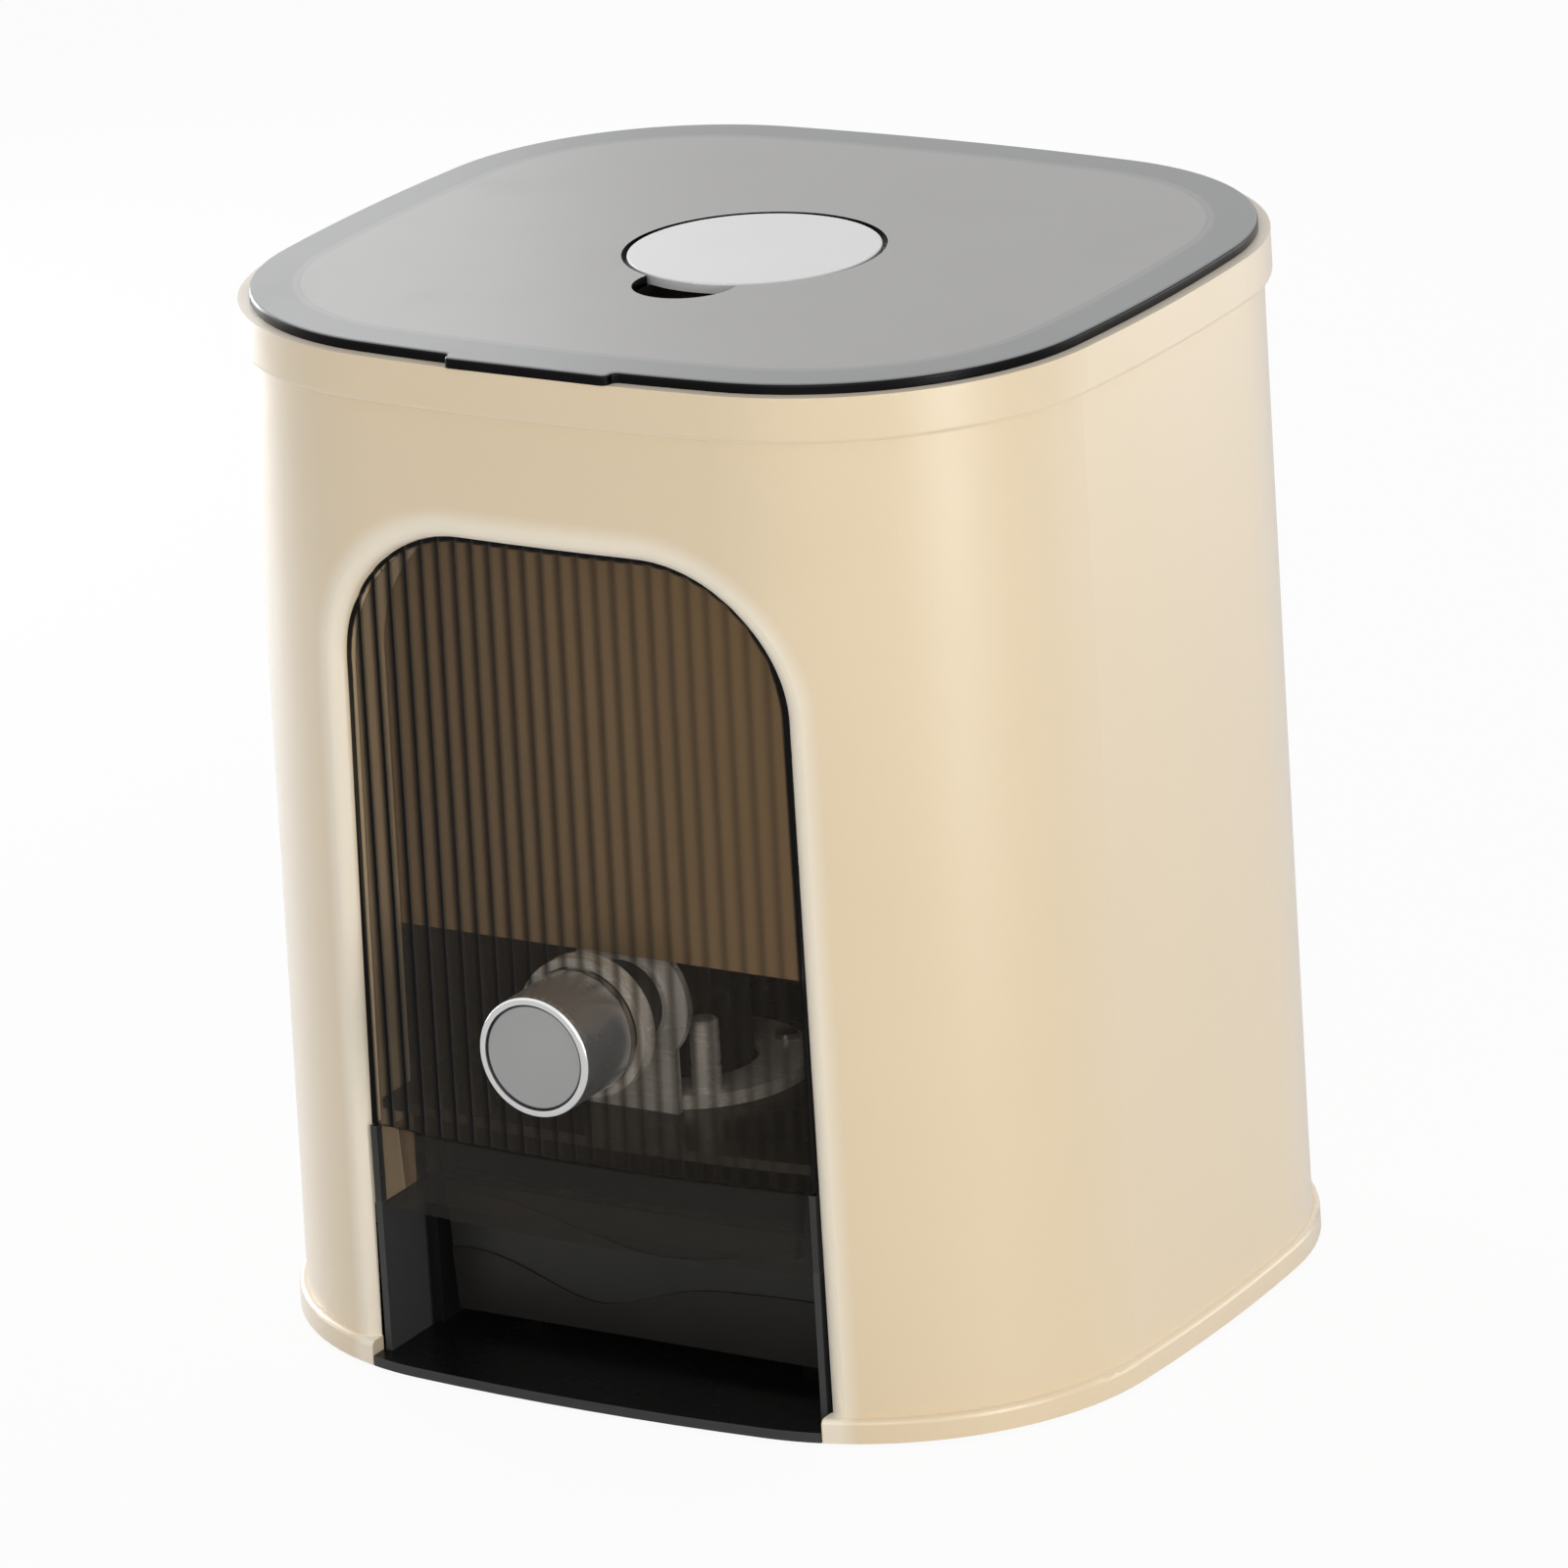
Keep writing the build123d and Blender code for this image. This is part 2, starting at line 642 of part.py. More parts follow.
# Base: floor with a lip in the window, alcove cheeks with a post beside the grip, drawer tunnel,
# rails and deck columns
with BuildPart() as base:
    with BuildSketch(Plane.XY.offset(foot_proud)):
        add(plan(floor_top, shell_wall + piece_gap))
    extrude(amount=floor_thickness)
    with BuildSketch(Plane.XY.offset(foot_proud)):
        add(plan(floor_top, -hem_proud))
        with Locations((0, -drawer_front)):
            lip_width = 2 * (window_half(floor_top) - piece_gap)
            Rectangle(lip_width, body_depth, align=(Align.CENTER, Align.MAX), mode=Mode.INTERSECT)
    extrude(amount=floor_thickness)
    with BuildSketch(Plane.XY.offset(floor_top)):
        cheek_outer = window_half(post_top) - piece_gap
        for side in (-1, 1):
            with Locations((side * (cheek_half + cheek_outer) / 2, -tunnel_front + tunnel_wall)):
                cheek_length = cheek_front - tunnel_front + tunnel_wall
                Rectangle(cheek_outer - cheek_half, cheek_length, align=(Align.CENTER, Align.MAX))
            with Locations((side * (tunnel_half + cheek_outer) / 2, -tunnel_front)):
                Rectangle(cheek_outer - tunnel_half, tunnel_wall, align=(Align.CENTER, Align.MIN))
    extrude(amount=cheek_top - floor_top)
    with BuildSketch(Plane.XY.offset(cheek_top)):
        post_depth = cheek_front - panel_rear + bow(cheek_outer) - piece_gap
        for side in (-1, 1):
            with Locations((side * (cheek_half + cheek_outer) / 2, -cheek_front)):
                Rectangle(cheek_outer - cheek_half, post_depth, align=(Align.CENTER, Align.MIN))
    extrude(amount=post_top - cheek_top)
    with BuildSketch(Plane.XY.offset(floor_top)):
        for side in (-1, 1):
            with Locations((side * (tunnel_half + tunnel_wall / 2), -tunnel_front)):
                Rectangle(tunnel_wall, tunnel_front + tunnel_back, align=(Align.CENTER, Align.MIN))
        with Locations((0, tunnel_back)):
            Rectangle(2 * (tunnel_half + tunnel_wall), tunnel_wall, align=(Align.CENTER, Align.MIN))
        with Locations(column_points):
            Circle(column_radius)
        for side in (-1, 1):
            with Locations((side * tunnel_half, column_front), (side * tunnel_half, column_back)):
                Rectangle(column_x - tunnel_half, 2 * column_radius, align=(outward[side], Align.CENTER))
    extrude(amount=deck_foot - floor_top)
    with BuildSketch(Plane.XY.offset(floor_top)):
        for side in (-1, 1):
            with Locations((side * rail_half, rail_setback - drawer_front)):
                rail_length = drawer_front - rail_setback + tunnel_back
                Rectangle(rail_width, rail_length, align=(Align.CENTER, Align.MIN))
    extrude(amount=rail_top - floor_top)
    with BuildSketch(Plane.XY.offset(foot_proud)):
        with Locations(foot_points):
            Circle(foot_radius + piece_gap / 3)
    extrude(amount=foot_thickness - foot_proud, mode=Mode.SUBTRACT)
    with BuildSketch(Plane.XY.offset(foot_proud)):
        with Locations(boss_points):
            Circle(screw_head_radius + piece_gap)
    extrude(amount=screw_head, mode=Mode.SUBTRACT)
    with BuildSketch(Plane.XY.offset(foot_proud)):
        with Locations(boss_points):
            Circle(screw_radius + screw_gap)
    extrude(amount=floor_thickness, mode=Mode.SUBTRACT)
    with BuildSketch(Plane.XY.offset(deck_foot)):
        with Locations(column_points):
            Circle(screw_radius + screw_gap)
    extrude(amount=-deck_screw_length, mode=Mode.SUBTRACT)
base.part.label = "base"
export_step(base.part, "parts/base.step")

# Feet: rubber pads in shallow recesses of the floor
with BuildPart() as feet:
    with BuildSketch(Plane.XY):
        with Locations(foot_points):
            Circle(foot_radius)
    extrude(amount=foot_thickness)
    chamfer(feet.edges().group_by(Axis.Z)[0], foot_chamfer)
feet.part.label = "feet"
export_step(feet.part, "parts/feet.step")

# Bay deck: the floor and walls of the bay that holds the valve, above the drawer
with BuildPart() as bay_deck:
    with BuildSketch(Plane.XY.offset(deck_foot)):
        deck_front = panel_rear - deck_top * draw_in - piece_gap
        add(bowed_slab(deck_front, bay_front - bay_step))
        Rectangle(2 * deck_half, body_depth, mode=Mode.INTERSECT)
        with Locations((0, -bay_front)):
            deck_length = bay_front + tunnel_back + tunnel_wall
            Rectangle(2 * deck_wide, deck_length, align=(Align.CENTER, Align.MIN))
    extrude(amount=deck_thickness)
    with BuildSketch(Plane.XY.offset(deck_top)):
        with Locations((0, -bay_front)):
            bay_outer = 2 * (bay_half + bay_wall)
            Rectangle(bay_outer, bay_length + bay_wall, align=(Align.CENTER, Align.MIN))
            Rectangle(2 * bay_half, bay_length, align=(Align.CENTER, Align.MIN), mode=Mode.SUBTRACT)
    extrude(amount=bay_wall_top - deck_top)
    with BuildSketch(Plane.XY.offset(deck_foot)):
        with Locations((0, valve_y)):
            chute_gap = 2 * (chute_wall + piece_gap)
            Rectangle(outlet_width + chute_gap, outlet_depth + chute_gap)
        with Locations(column_points + post_points + valve_screw_points):
            Circle(screw_radius + screw_gap)
    extrude(amount=deck_thickness, mode=Mode.SUBTRACT)
bay_deck.part.label = "bay_deck"
export_step(bay_deck.part, "parts/bay_deck.step")

# Valve body: barrel across the rice port, inlet block above it, chute and foot below
with BuildPart() as valve_body:
    with BuildSketch(Plane.XY.offset(deck_top)):
        with Locations((0, valve_y)):
            Circle(valve_foot_radius)
    extrude(amount=valve_foot_height)
    with BuildSketch(Plane.XY.offset(chute_foot)):
        with Locations((0, valve_y)):
            Rectangle(outlet_width + 2 * chute_wall, outlet_depth + 2 * chute_wall)
    extrude(amount=valve_axis - chute_foot)
    with BuildSketch(Plane.XY.offset(valve_axis)):
        with Locations((0, valve_y)):
            Rectangle(outlet_width + 2 * outlet_margin, outlet_depth + 2 * outlet_margin)
    extrude(amount=inlet_top - valve_axis)
    with BuildSketch(front_plane(-barrel_front)):
        with Locations((0, valve_axis)):
            Circle(barrel_radius)
    extrude(amount=barrel_back - barrel_front)
    with BuildSketch(front_plane(-barrel_back)):
        with Locations(ear_points):
            Circle(ear_radius)
    extrude(amount=ear_length)
    with BuildSketch(front_plane(-barrel_back)):
        with Locations((0, valve_axis)):
            Circle(bore_radius)
    extrude(amount=barrel_front - barrel_back, mode=Mode.SUBTRACT)
    with BuildSketch(front_plane(-barrel_back)):
        with Locations(ear_points):
            Circle(screw_radius + screw_gap)
    extrude(amount=cap_screw_length, mode=Mode.SUBTRACT)
    with BuildSketch(Plane.XY.offset(chute_foot)):
        with Locations((0, valve_y)):
            Rectangle(outlet_width, outlet_depth)
    extrude(amount=inlet_top - chute_foot, mode=Mode.SUBTRACT)
valve_body.part.label = "valve_body"
export_step(valve_body.part, "parts/valve_body.step")

# Inlet seal: frame between the hopper's outlet and the valve's inlet
with BuildPart() as inlet_seal:
    with BuildSketch(Plane.XY.offset(inlet_top)):
        with Locations((0, valve_y)):
            Rectangle(outlet_width + 2 * outlet_margin, outlet_depth + 2 * outlet_margin)
            Rectangle(outlet_width + 2 * piece_gap, outlet_depth + 2 * piece_gap, mode=Mode.SUBTRACT)
    extrude(amount=seal_thickness)
inlet_seal.part.label = "inlet_seal"
export_step(inlet_seal.part, "parts/inlet_seal.step")

# Valve flange: clamp ring over the valve's foot, flat at the front
with BuildPart() as valve_flange:
    with BuildSketch(Plane.XY.offset(deck_top)):
        with Locations((0, valve_y)):
            Circle(flange_radius)
        with Locations((0, -barrel_front)):
            reach = 2 * flange_radius
            Rectangle(reach, reach, align=(Align.CENTER, Align.MIN), mode=Mode.INTERSECT)
        with Locations((0, valve_y)):
            Circle(flange_hole, mode=Mode.SUBTRACT)
        with Locations(post_points + valve_screw_points):
            Circle(screw_radius + screw_gap, mode=Mode.SUBTRACT)
    extrude(amount=flange_height)
    with BuildSketch(Plane.XY.offset(deck_top)):
        with Locations((0, valve_y)):
            Circle(valve_foot_radius + piece_gap)
    extrude(amount=valve_foot_height, mode=Mode.SUBTRACT)
valve_flange.part.label = "valve_flange"
export_step(valve_flange.part, "parts/valve_flange.step")

# Gland plate: front ring of the barrel with a collar, on a foot that stands on the deck
with BuildPart() as gland_plate:
    gland_front = barrel_front + gland_thickness
    with BuildSketch(front_plane(-barrel_front)):
        with Locations((0, valve_axis)):
            Circle(gland_radius)
        with Locations((0, deck_top)):
            Rectangle(2 * gland_foot_half, valve_axis - deck_top, align=(Align.CENTER, Align.MIN))
    extrude(amount=gland_thickness)
    with BuildSketch(front_plane(-gland_front)):
        with Locations((0, valve_axis)):
            Circle(gland_collar_radius)
    extrude(amount=gland_collar)
    with BuildSketch(front_plane(-barrel_front)):
        with Locations((0, valve_axis)):
            Circle(bore_radius)
    extrude(amount=gland_thickness + gland_collar, mode=Mode.SUBTRACT)
gland_plate.part.label = "gland_plate"
export_step(gland_plate.part, "parts/gland_plate.step")

# Flange posts: grooved heads of the two front studs that hold the ring down
with BuildPart() as flange_posts:
    with BuildSketch(Plane.XY.offset(flange_top)):
        with Locations(post_points):
            Circle(post_radius)
    extrude(amount=post_height)
    chamfer(flange_posts.edges().group_by(Axis.Z)[-1], post_chamfer)
    with BuildSketch(Plane.XY.offset(flange_top + post_groove)):
        with Locations(post_points):
            Circle(post_radius)
            Circle(post_radius - post_groove_depth, mode=Mode.SUBTRACT)
    extrude(amount=post_groove_width, mode=Mode.SUBTRACT)
    with BuildSketch(Plane.XY.offset(flange_top)):
        with Locations(post_points):
            Circle(screw_radius)
    extrude(amount=deck_foot - flange_top)
flange_posts.part.label = "flange_posts"
export_step(flange_posts.part, "parts/flange_posts.step")

# Valve screws: the two rear fixings of the ring
with BuildPart() as valve_screws:
    ring_planes = [Plane(origin=(x, y, flange_top)) for x, y in valve_screw_points]
    add(screw_set(ring_planes, flange_top - deck_foot))
valve_screws.part.label = "valve_screws"
export_step(valve_screws.part, "parts/valve_screws.step")

# Valve end cap: closes the barrel and seats the spring
with BuildPart() as valve_end_cap:
    with BuildSketch(front_plane(-barrel_back)):
        with Locations((0, valve_axis)):
            Circle(barrel_radius)
        with Locations(ear_points):
            Circle(ear_radius)
            Circle(screw_radius + screw_gap, mode=Mode.SUBTRACT)
    extrude(amount=-cap_thickness)
    with BuildSketch(front_plane(-barrel_back)):
        with Locations((0, valve_axis)):
            Circle(spool_radius)
    extrude(amount=cap_spigot)
valve_end_cap.part.label = "valve_end_cap"
export_step(valve_end_cap.part, "parts/valve_end_cap.step")

# End cap screws
with BuildPart() as end_cap_screws:
    cap_rear = cap_thickness - barrel_back
    cap_planes = [Plane(origin=(x, cap_rear, z), z_dir=(0, 1, 0)) for x, z in ear_points]
    add(screw_set(cap_planes, cap_screw_length))
end_cap_screws.part.label = "end_cap_screws"
export_step(end_cap_screws.part, "parts/end_cap_screws.step")

# Spool: push rod with the rice slot, which stands ahead of the port until the button is pressed
with BuildPart() as spool:
    with BuildSketch(front_plane(-spool_back)):
        with Locations((0, valve_axis)):
            Circle(spool_radius)
    extrude(amount=rod_front - spool_back)
    with BuildSketch(Plane.XY.offset(valve_axis)):
        with Locations((0, valve_y - button_travel)):
            Rectangle(outlet_width, outlet_depth)
    extrude(amount=barrel_radius, both=True, mode=Mode.SUBTRACT)
    with BuildSketch(front_plane(-spool_back)):
        with Locations((0, valve_axis)):
            Circle(spring_seat_radius)
    extrude(amount=spring_seat_depth, mode=Mode.SUBTRACT)
    with BuildSketch(front_plane(-rod_front)):
        with Locations((0, valve_axis)):
            Circle(button_screw_radius + screw_gap)
    extrude(amount=-button_screw_length, mode=Mode.SUBTRACT)
spool.part.label = "spool"
export_step(spool.part, "parts/spool.step")

# Return spring: an even helix of two arcs a quarter turn, between the spool's seat and the end cap
with BuildPart() as return_spring:
    coil_start = spring_seat_depth + spool_back - spring_wire / 2 - spring_slack
    coil_length = coil_start - barrel_back - cap_spigot - spring_wire / 2 - spring_slack
    rise = coil_length / (2 * pi * spring_turns)
    with BuildLine() as coil:
        for quarter in range(4 * spring_turns):
            low, high = coil_point(quarter), coil_point(quarter + 1)
            low_way, high_way = coil_way(quarter), coil_way(quarter + 1)
            chord = high - low
            both = chord.dot(low_way + high_way)
            turn = low_way.dot(high_way) - 1
            reach = (both - sqrt(both ** 2 - 2 * turn * chord.dot(chord))) / (2 * turn)
            first, second = low + low_way * reach, high - high_way * reach
            joint = (first + second) / 2
            TangentArc(low, joint, tangent=low_way)
            TangentArc(joint, high, tangent=second - first)
    with BuildSketch(Plane(origin=coil.line @ 0, z_dir=coil.line % 0)):
        RegularPolygon(spring_wire / 2, wire_sides)
    sweep(path=coil.line, clean=False)
return_spring.part.label = "return_spring"
export_step(return_spring.part, "parts/return_spring.step")
coil_samples = [coil.line @ (n / coil_checks) for n in range(coil_checks + 1)]
apart = coil_checks // (2 * spring_turns)
least = min((a - b).length for n, a in enumerate(coil_samples) for b in coil_samples[n + apart:])
print("return_spring least gap to itself", round(least - spring_wire, 2), "mm")

# Button sleeve: hollow push button with a recess for its face and a web that takes the rod
with BuildPart() as button_sleeve:
    with BuildSketch(front_plane(-button_rear)):
        with Locations((0, valve_axis)):
            Circle(button_radius)
    extrude(amount=button_front - button_rear)
    fillet(button_sleeve.edges().group_by(Axis.Y)[0], button_round)
    with BuildSketch(front_plane(-button_rear)):
        with Locations((0, valve_axis)):
            Circle(button_radius - button_wall)
    extrude(amount=rod_front - button_rear, mode=Mode.SUBTRACT)
    with BuildSketch(front_plane(-button_front)):
        with Locations((0, valve_axis)):
            Circle(button_radius - button_wall)
    extrude(amount=-face_recess, mode=Mode.SUBTRACT)
    with BuildSketch(front_plane(-rod_front)):
        with Locations((0, valve_axis)):
            Circle(button_screw_radius + screw_gap)
    extrude(amount=button_web, mode=Mode.SUBTRACT)
    with BuildSketch(front_plane(-button_front + face_recess)):
        with Locations((0, valve_axis)):
            Circle(button_screw_head_radius + piece_gap)
    extrude(amount=-screw_head, mode=Mode.SUBTRACT)
button_sleeve.part.label = "button_sleeve"
export_step(button_sleeve.part, "parts/button_sleeve.step")

# Button face: disc in the sleeve's recess
with BuildPart() as button_face:
    with BuildSketch(front_plane(-button_front + face_recess)):
        with Locations((0, valve_axis)):
            Circle(button_radius - button_wall - piece_gap / 3)
    extrude(amount=face_thickness)
button_face.part.label = "button_face"
export_step(button_face.part, "parts/button_face.step")

# Button screw: holds the sleeve on the rod, under the face
with BuildPart() as button_screw:
    screw_seat = button_front - face_recess - screw_head
    with BuildSketch(front_plane(-screw_seat)):
        with Locations((0, valve_axis)):
            Circle(button_screw_head_radius)
    extrude(amount=screw_head - screw_gap)
    with BuildSketch(front_plane(-screw_seat)):
        with Locations((0, valve_axis)):
            Circle(button_screw_radius)
    extrude(amount=-button_screw_length)
button_screw.part.label = "button_screw"
export_step(button_screw.part, "parts/button_screw.step")

# The step of the drawer's front that carries the grip, and the room inside it
with BuildPart() as drawer_step:
    add(drawer_block(panel_front, 0, grip_foot))
with BuildPart() as drawer_room:
    add(drawer_block(panel_front - grip_thickness, drawer_wall, grip_foot + drawer_wall))
    room_floor = drawer_floor + drawer_wall
    for level in (room_floor, drawer_top):
        with BuildSketch(Plane.XY.offset(level)):
            with Locations((0, drawer_middle)):
                Rectangle(2 * (drawer_half(level) - drawer_wall), drawer_length - 2 * drawer_wall)
    loft(ruled=True)

# Drawer: flared box with a bowed grip strip above a recessed face with two wave steps
with BuildPart() as drawer:
    for level in (drawer_floor, drawer_top):
        with BuildSketch(Plane.XY.offset(level)):
            with Locations((0, drawer_middle)):
                Rectangle(2 * drawer_half(level), drawer_length)
    loft(ruled=True)
    add(drawer_step.part)
    with BuildSketch(Plane.XY):
        add(bowed_slab(panel_front, panel_front - grip_thickness))
        Rectangle(2 * grip_half, body_depth, mode=Mode.INTERSECT)
    grip = extrude(amount=drawer_top, dir=lean, mode=Mode.PRIVATE)
    add(split(grip, bisect_by=Plane.XY.offset(grip_foot), keep=Keep.TOP, mode=Mode.PRIVATE))
    for layer, crest, ends in ((1, wave_high, wave_high_ends), (2, wave_low, wave_low_ends)):
        with BuildSketch(front_plane(-drawer_front)):
            with BuildLine():
                left, right = (-drawer_half(ends[0]), ends[0]), (drawer_half(ends[1]), ends[1])
                Spline(left, *((x * drawer_half_foot, z) for x, z in crest), right)
                foot = drawer_half(drawer_floor)
                Polyline(right, (foot, drawer_floor), (-foot, drawer_floor), left)
            make_face()
        extrude(amount=layer * wave_relief)
    add(drawer_room.part, mode=Mode.SUBTRACT)
drawer.part.label = "drawer"
export_step(drawer.part, "parts/drawer.step")

# Deck screws
with BuildPart() as deck_screws:
    add(screw_set([Plane(origin=(x, y, deck_top)) for x, y in column_points], deck_screw_length))
deck_screws.part.label = "deck_screws"
export_step(deck_screws.part, "parts/deck_screws.step")

# Base screws: from below, in counterbores of the floor
with BuildPart() as base_screws:
    head_seat = foot_proud + screw_head
    seats = [Plane(origin=(p.X, p.Y, head_seat), z_dir=(0, 0, -1)) for p in boss_points]
    add(screw_set(seats, boss_screw_length))
base_screws.part.label = "base_screws"
export_step(base_screws.part, "parts/base_screws.step")
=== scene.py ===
"""Rice dispenser dressed for rendering: finishes, the spring's coil, floor, light and camera.

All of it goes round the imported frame: metres, +Z up, front towards -Y, as in the CAD model.
"""

import bpy
import numpy as np
from mathutils import Matrix, Vector


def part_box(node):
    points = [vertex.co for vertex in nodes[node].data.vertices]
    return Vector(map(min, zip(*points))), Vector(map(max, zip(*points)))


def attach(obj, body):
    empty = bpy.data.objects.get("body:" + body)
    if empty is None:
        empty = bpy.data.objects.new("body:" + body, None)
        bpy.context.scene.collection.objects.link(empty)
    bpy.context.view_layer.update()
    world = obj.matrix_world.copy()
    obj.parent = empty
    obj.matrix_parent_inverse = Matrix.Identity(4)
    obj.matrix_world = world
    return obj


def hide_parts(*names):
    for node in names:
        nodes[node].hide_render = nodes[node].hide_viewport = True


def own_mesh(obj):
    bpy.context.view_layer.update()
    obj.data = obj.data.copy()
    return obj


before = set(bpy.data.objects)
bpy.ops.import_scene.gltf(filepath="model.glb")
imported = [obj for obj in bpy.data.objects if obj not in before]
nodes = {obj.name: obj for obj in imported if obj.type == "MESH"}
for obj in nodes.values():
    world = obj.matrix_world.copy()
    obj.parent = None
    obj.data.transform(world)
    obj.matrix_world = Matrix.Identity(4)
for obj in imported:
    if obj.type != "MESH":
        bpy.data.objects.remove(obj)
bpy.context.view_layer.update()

# ---------------------------------------------------------------------------------------------------
# Base: black floor with the alcove's cheeks and the drawer's tunnel, and the black deck of the bay.
# Both are moulded in black plastic with a fine spark-eroded skin that is rubbed smoother in places.
# ---------------------------------------------------------------------------------------------------

ALCOVE_TOP = 0.050
CHEEK_STEP, CHEEK_FADE = -0.0935, 0.002
FLOW_SCALE, RUB_SCALE = 9.0, 26.0
RUB_EDGES = (0.48, 0.66)
LEVEL_EDGES = (0.5, 0.9)
BLACK_GRAIN, BLACK_GRAIN_DEPTH = 1500.0, 0.00004
BLACK_TONES = (0.028, 0.028, 0.028), (0.040, 0.0395, 0.039)
CHEEK_LIT_TONE = (0.048, 0.048, 0.048)
TUNNEL_SHADE_TONE = (0.006, 0.006, 0.007)
LEVEL_SHADE_TONE = (0.006, 0.006, 0.006)
BLACK_ROUGH, LEVEL_SMOOTHER = (0.44, 0.36), -0.16


def calc(tree, operation, *terms):
    """A Math node on numbers or sockets; gives back its result."""
    node = tree.nodes.new("ShaderNodeMath")
    node.operation = operation
    for socket, term in zip(node.inputs, terms):
        if isinstance(term, (int, float)):
            socket.default_value = term
        else:
            tree.links.new(term, socket)
    return node.outputs[0]


def between(tree, share, start, end):
    """A number that goes straight from start to end as the share goes from 0 to 1."""
    return calc(tree, "MULTIPLY_ADD", share, end - start, start)


def ease(tree, value, low, high, start=0.0, end=1.0):
    """A smooth step of value: start below low, end above high."""
    node = tree.nodes.new("ShaderNodeMapRange")
    node.interpolation_type = "SMOOTHSTEP"
    tree.links.new(value, node.inputs["Value"])
    for name, number in (("From Min", low), ("From Max", high), ("To Min", start), ("To Max", end)):
        node.inputs[name].default_value = number
    return node.outputs["Result"]


def tint(tree, share, first, second):
    """A colour between two, by a share from 0 to 1; each is a linear colour or a socket."""
    node = tree.nodes.new("ShaderNodeMix")
    node.data_type = "RGBA"
    tree.links.new(share, node.inputs["Factor"])
    for socket, colour in ((node.inputs[6], first), (node.inputs[7], second)):
        if isinstance(colour, tuple):
            socket.default_value = (*colour, 1.0)
        else:
            tree.links.new(colour, socket)
    return node.outputs[2]


def object_place(tree, scale=(1.0, 1.0, 1.0)):
    """Object coordinates through a Mapping node that stretches them."""
    coords = tree.nodes.new("ShaderNodeTexCoord")
    mapping = tree.nodes.new("ShaderNodeMapping")
    mapping.inputs["Scale"].default_value = scale
    tree.links.new(coords.outputs["Object"], mapping.inputs["Vector"])
    return mapping.outputs["Vector"]


def object_spot(tree):
    """Object coordinates as three sockets: X, Y and Z."""
    parts = tree.nodes.new("ShaderNodeSeparateXYZ")
    tree.links.new(object_place(tree), parts.inputs["Vector"])
    return parts.outputs


def facing(tree, axis):
    """How far a face turns along an axis of its object: 1 when it looks straight along it."""
    coords = tree.nodes.new("ShaderNodeTexCoord")
    parts = tree.nodes.new("ShaderNodeSeparateXYZ")
    tree.links.new(coords.outputs["Normal"], parts.inputs["Vector"])
    return parts.outputs[axis]


def noise(tree, vector, scale, detail):
    """A Noise Texture on a vector; scale is a number or a socket."""
    node = tree.nodes.new("ShaderNodeTexNoise")
    tree.links.new(vector, node.inputs["Vector"])
    if isinstance(scale, (int, float)):
        node.inputs["Scale"].default_value = scale
    else:
        tree.links.new(scale, node.inputs["Scale"])
    node.inputs["Detail"].default_value = detail
    return node.outputs["Fac"]


def effect(name, inputs, outputs):
    """An empty shader node group with named float inputs (and their values) and outputs."""
    group = bpy.data.node_groups.new(name, "ShaderNodeTree")
    for label, number in inputs.items():
        socket = group.interface.new_socket(label, in_out="INPUT", socket_type="NodeSocketFloat")
        socket.default_value = number
    for label in outputs:
        group.interface.new_socket(label, in_out="OUTPUT", socket_type="NodeSocketFloat")
    return group, group.nodes.new("NodeGroupInput").outputs, group.nodes.new("NodeGroupOutput").inputs


def place(tree, group, **values):
    """A node of a group in a material, with its own values; gives back its outputs."""
    node = tree.nodes.new("ShaderNodeGroup")
    node.node_tree = group
    for label, number in values.items():
        node.inputs[label.replace("_", " ")].default_value = number
    return node.outputs


def new_finish(name, colour, roughness, **sockets):
    """A material with one Principled shader; constants go straight onto its sockets.

    The colour and roughness are the finish's plain ones, under what is linked to them later.
    """
    material = bpy.data.materials.new(name)
    material.use_nodes = True
    shader = material.node_tree.nodes["Principled BSDF"]
    shader.inputs["Base Color"].default_value = (*colour, 1.0)
    shader.inputs["Roughness"].default_value = roughness
    for label, number in sockets.items():
        shader.inputs[label.replace("_", " ")].default_value = number
    return material, material.node_tree, shader.inputs


def raise_skin(tree, shader, height, depth=1.0):
    """A Bump node between a height and the shader's normal; a height of 1 stands for depth metres."""
    node = tree.nodes.new("ShaderNodeBump")
    node.inputs["Strength"].default_value = 1.0
    node.inputs["Distance"].default_value = depth
    tree.links.new(height, node.inputs["Height"])
    tree.links.new(node.outputs["Normal"], shader["Normal"])


def dress(material, *names):
    """Puts a finish on CAD nodes, through their objects' material slots."""
    for name in names:
        for slot in nodes[name].material_slots:
            slot.material = material


# Moulded skin: Grain is fine noise from the eroded tool, Flow is the slow drift of a moulding's tone,
# Rub is where hands and cloths have smoothed it
moulded_skin, given, put = effect("moulded_skin", {"Grain Scale": BLACK_GRAIN}, ("Grain", "Flow", "Rub"))
spot = object_place(moulded_skin)
moulded_skin.links.new(noise(moulded_skin, spot, given["Grain Scale"], 2.0), put["Grain"])
moulded_skin.links.new(noise(moulded_skin, spot, FLOW_SCALE, 2.0), put["Flow"])
rub_noise = noise(moulded_skin, spot, RUB_SCALE, 5.0)
moulded_skin.links.new(ease(moulded_skin, rub_noise, *RUB_EDGES), put["Rub"])

black_plastic, tree, shader = new_finish(
    "black_plastic", (0.012, 0.012, 0.012), 0.42, Specular_IOR_Level=0.30
)
skin = place(tree, moulded_skin, Grain_Scale=BLACK_GRAIN)
spot = object_spot(tree)
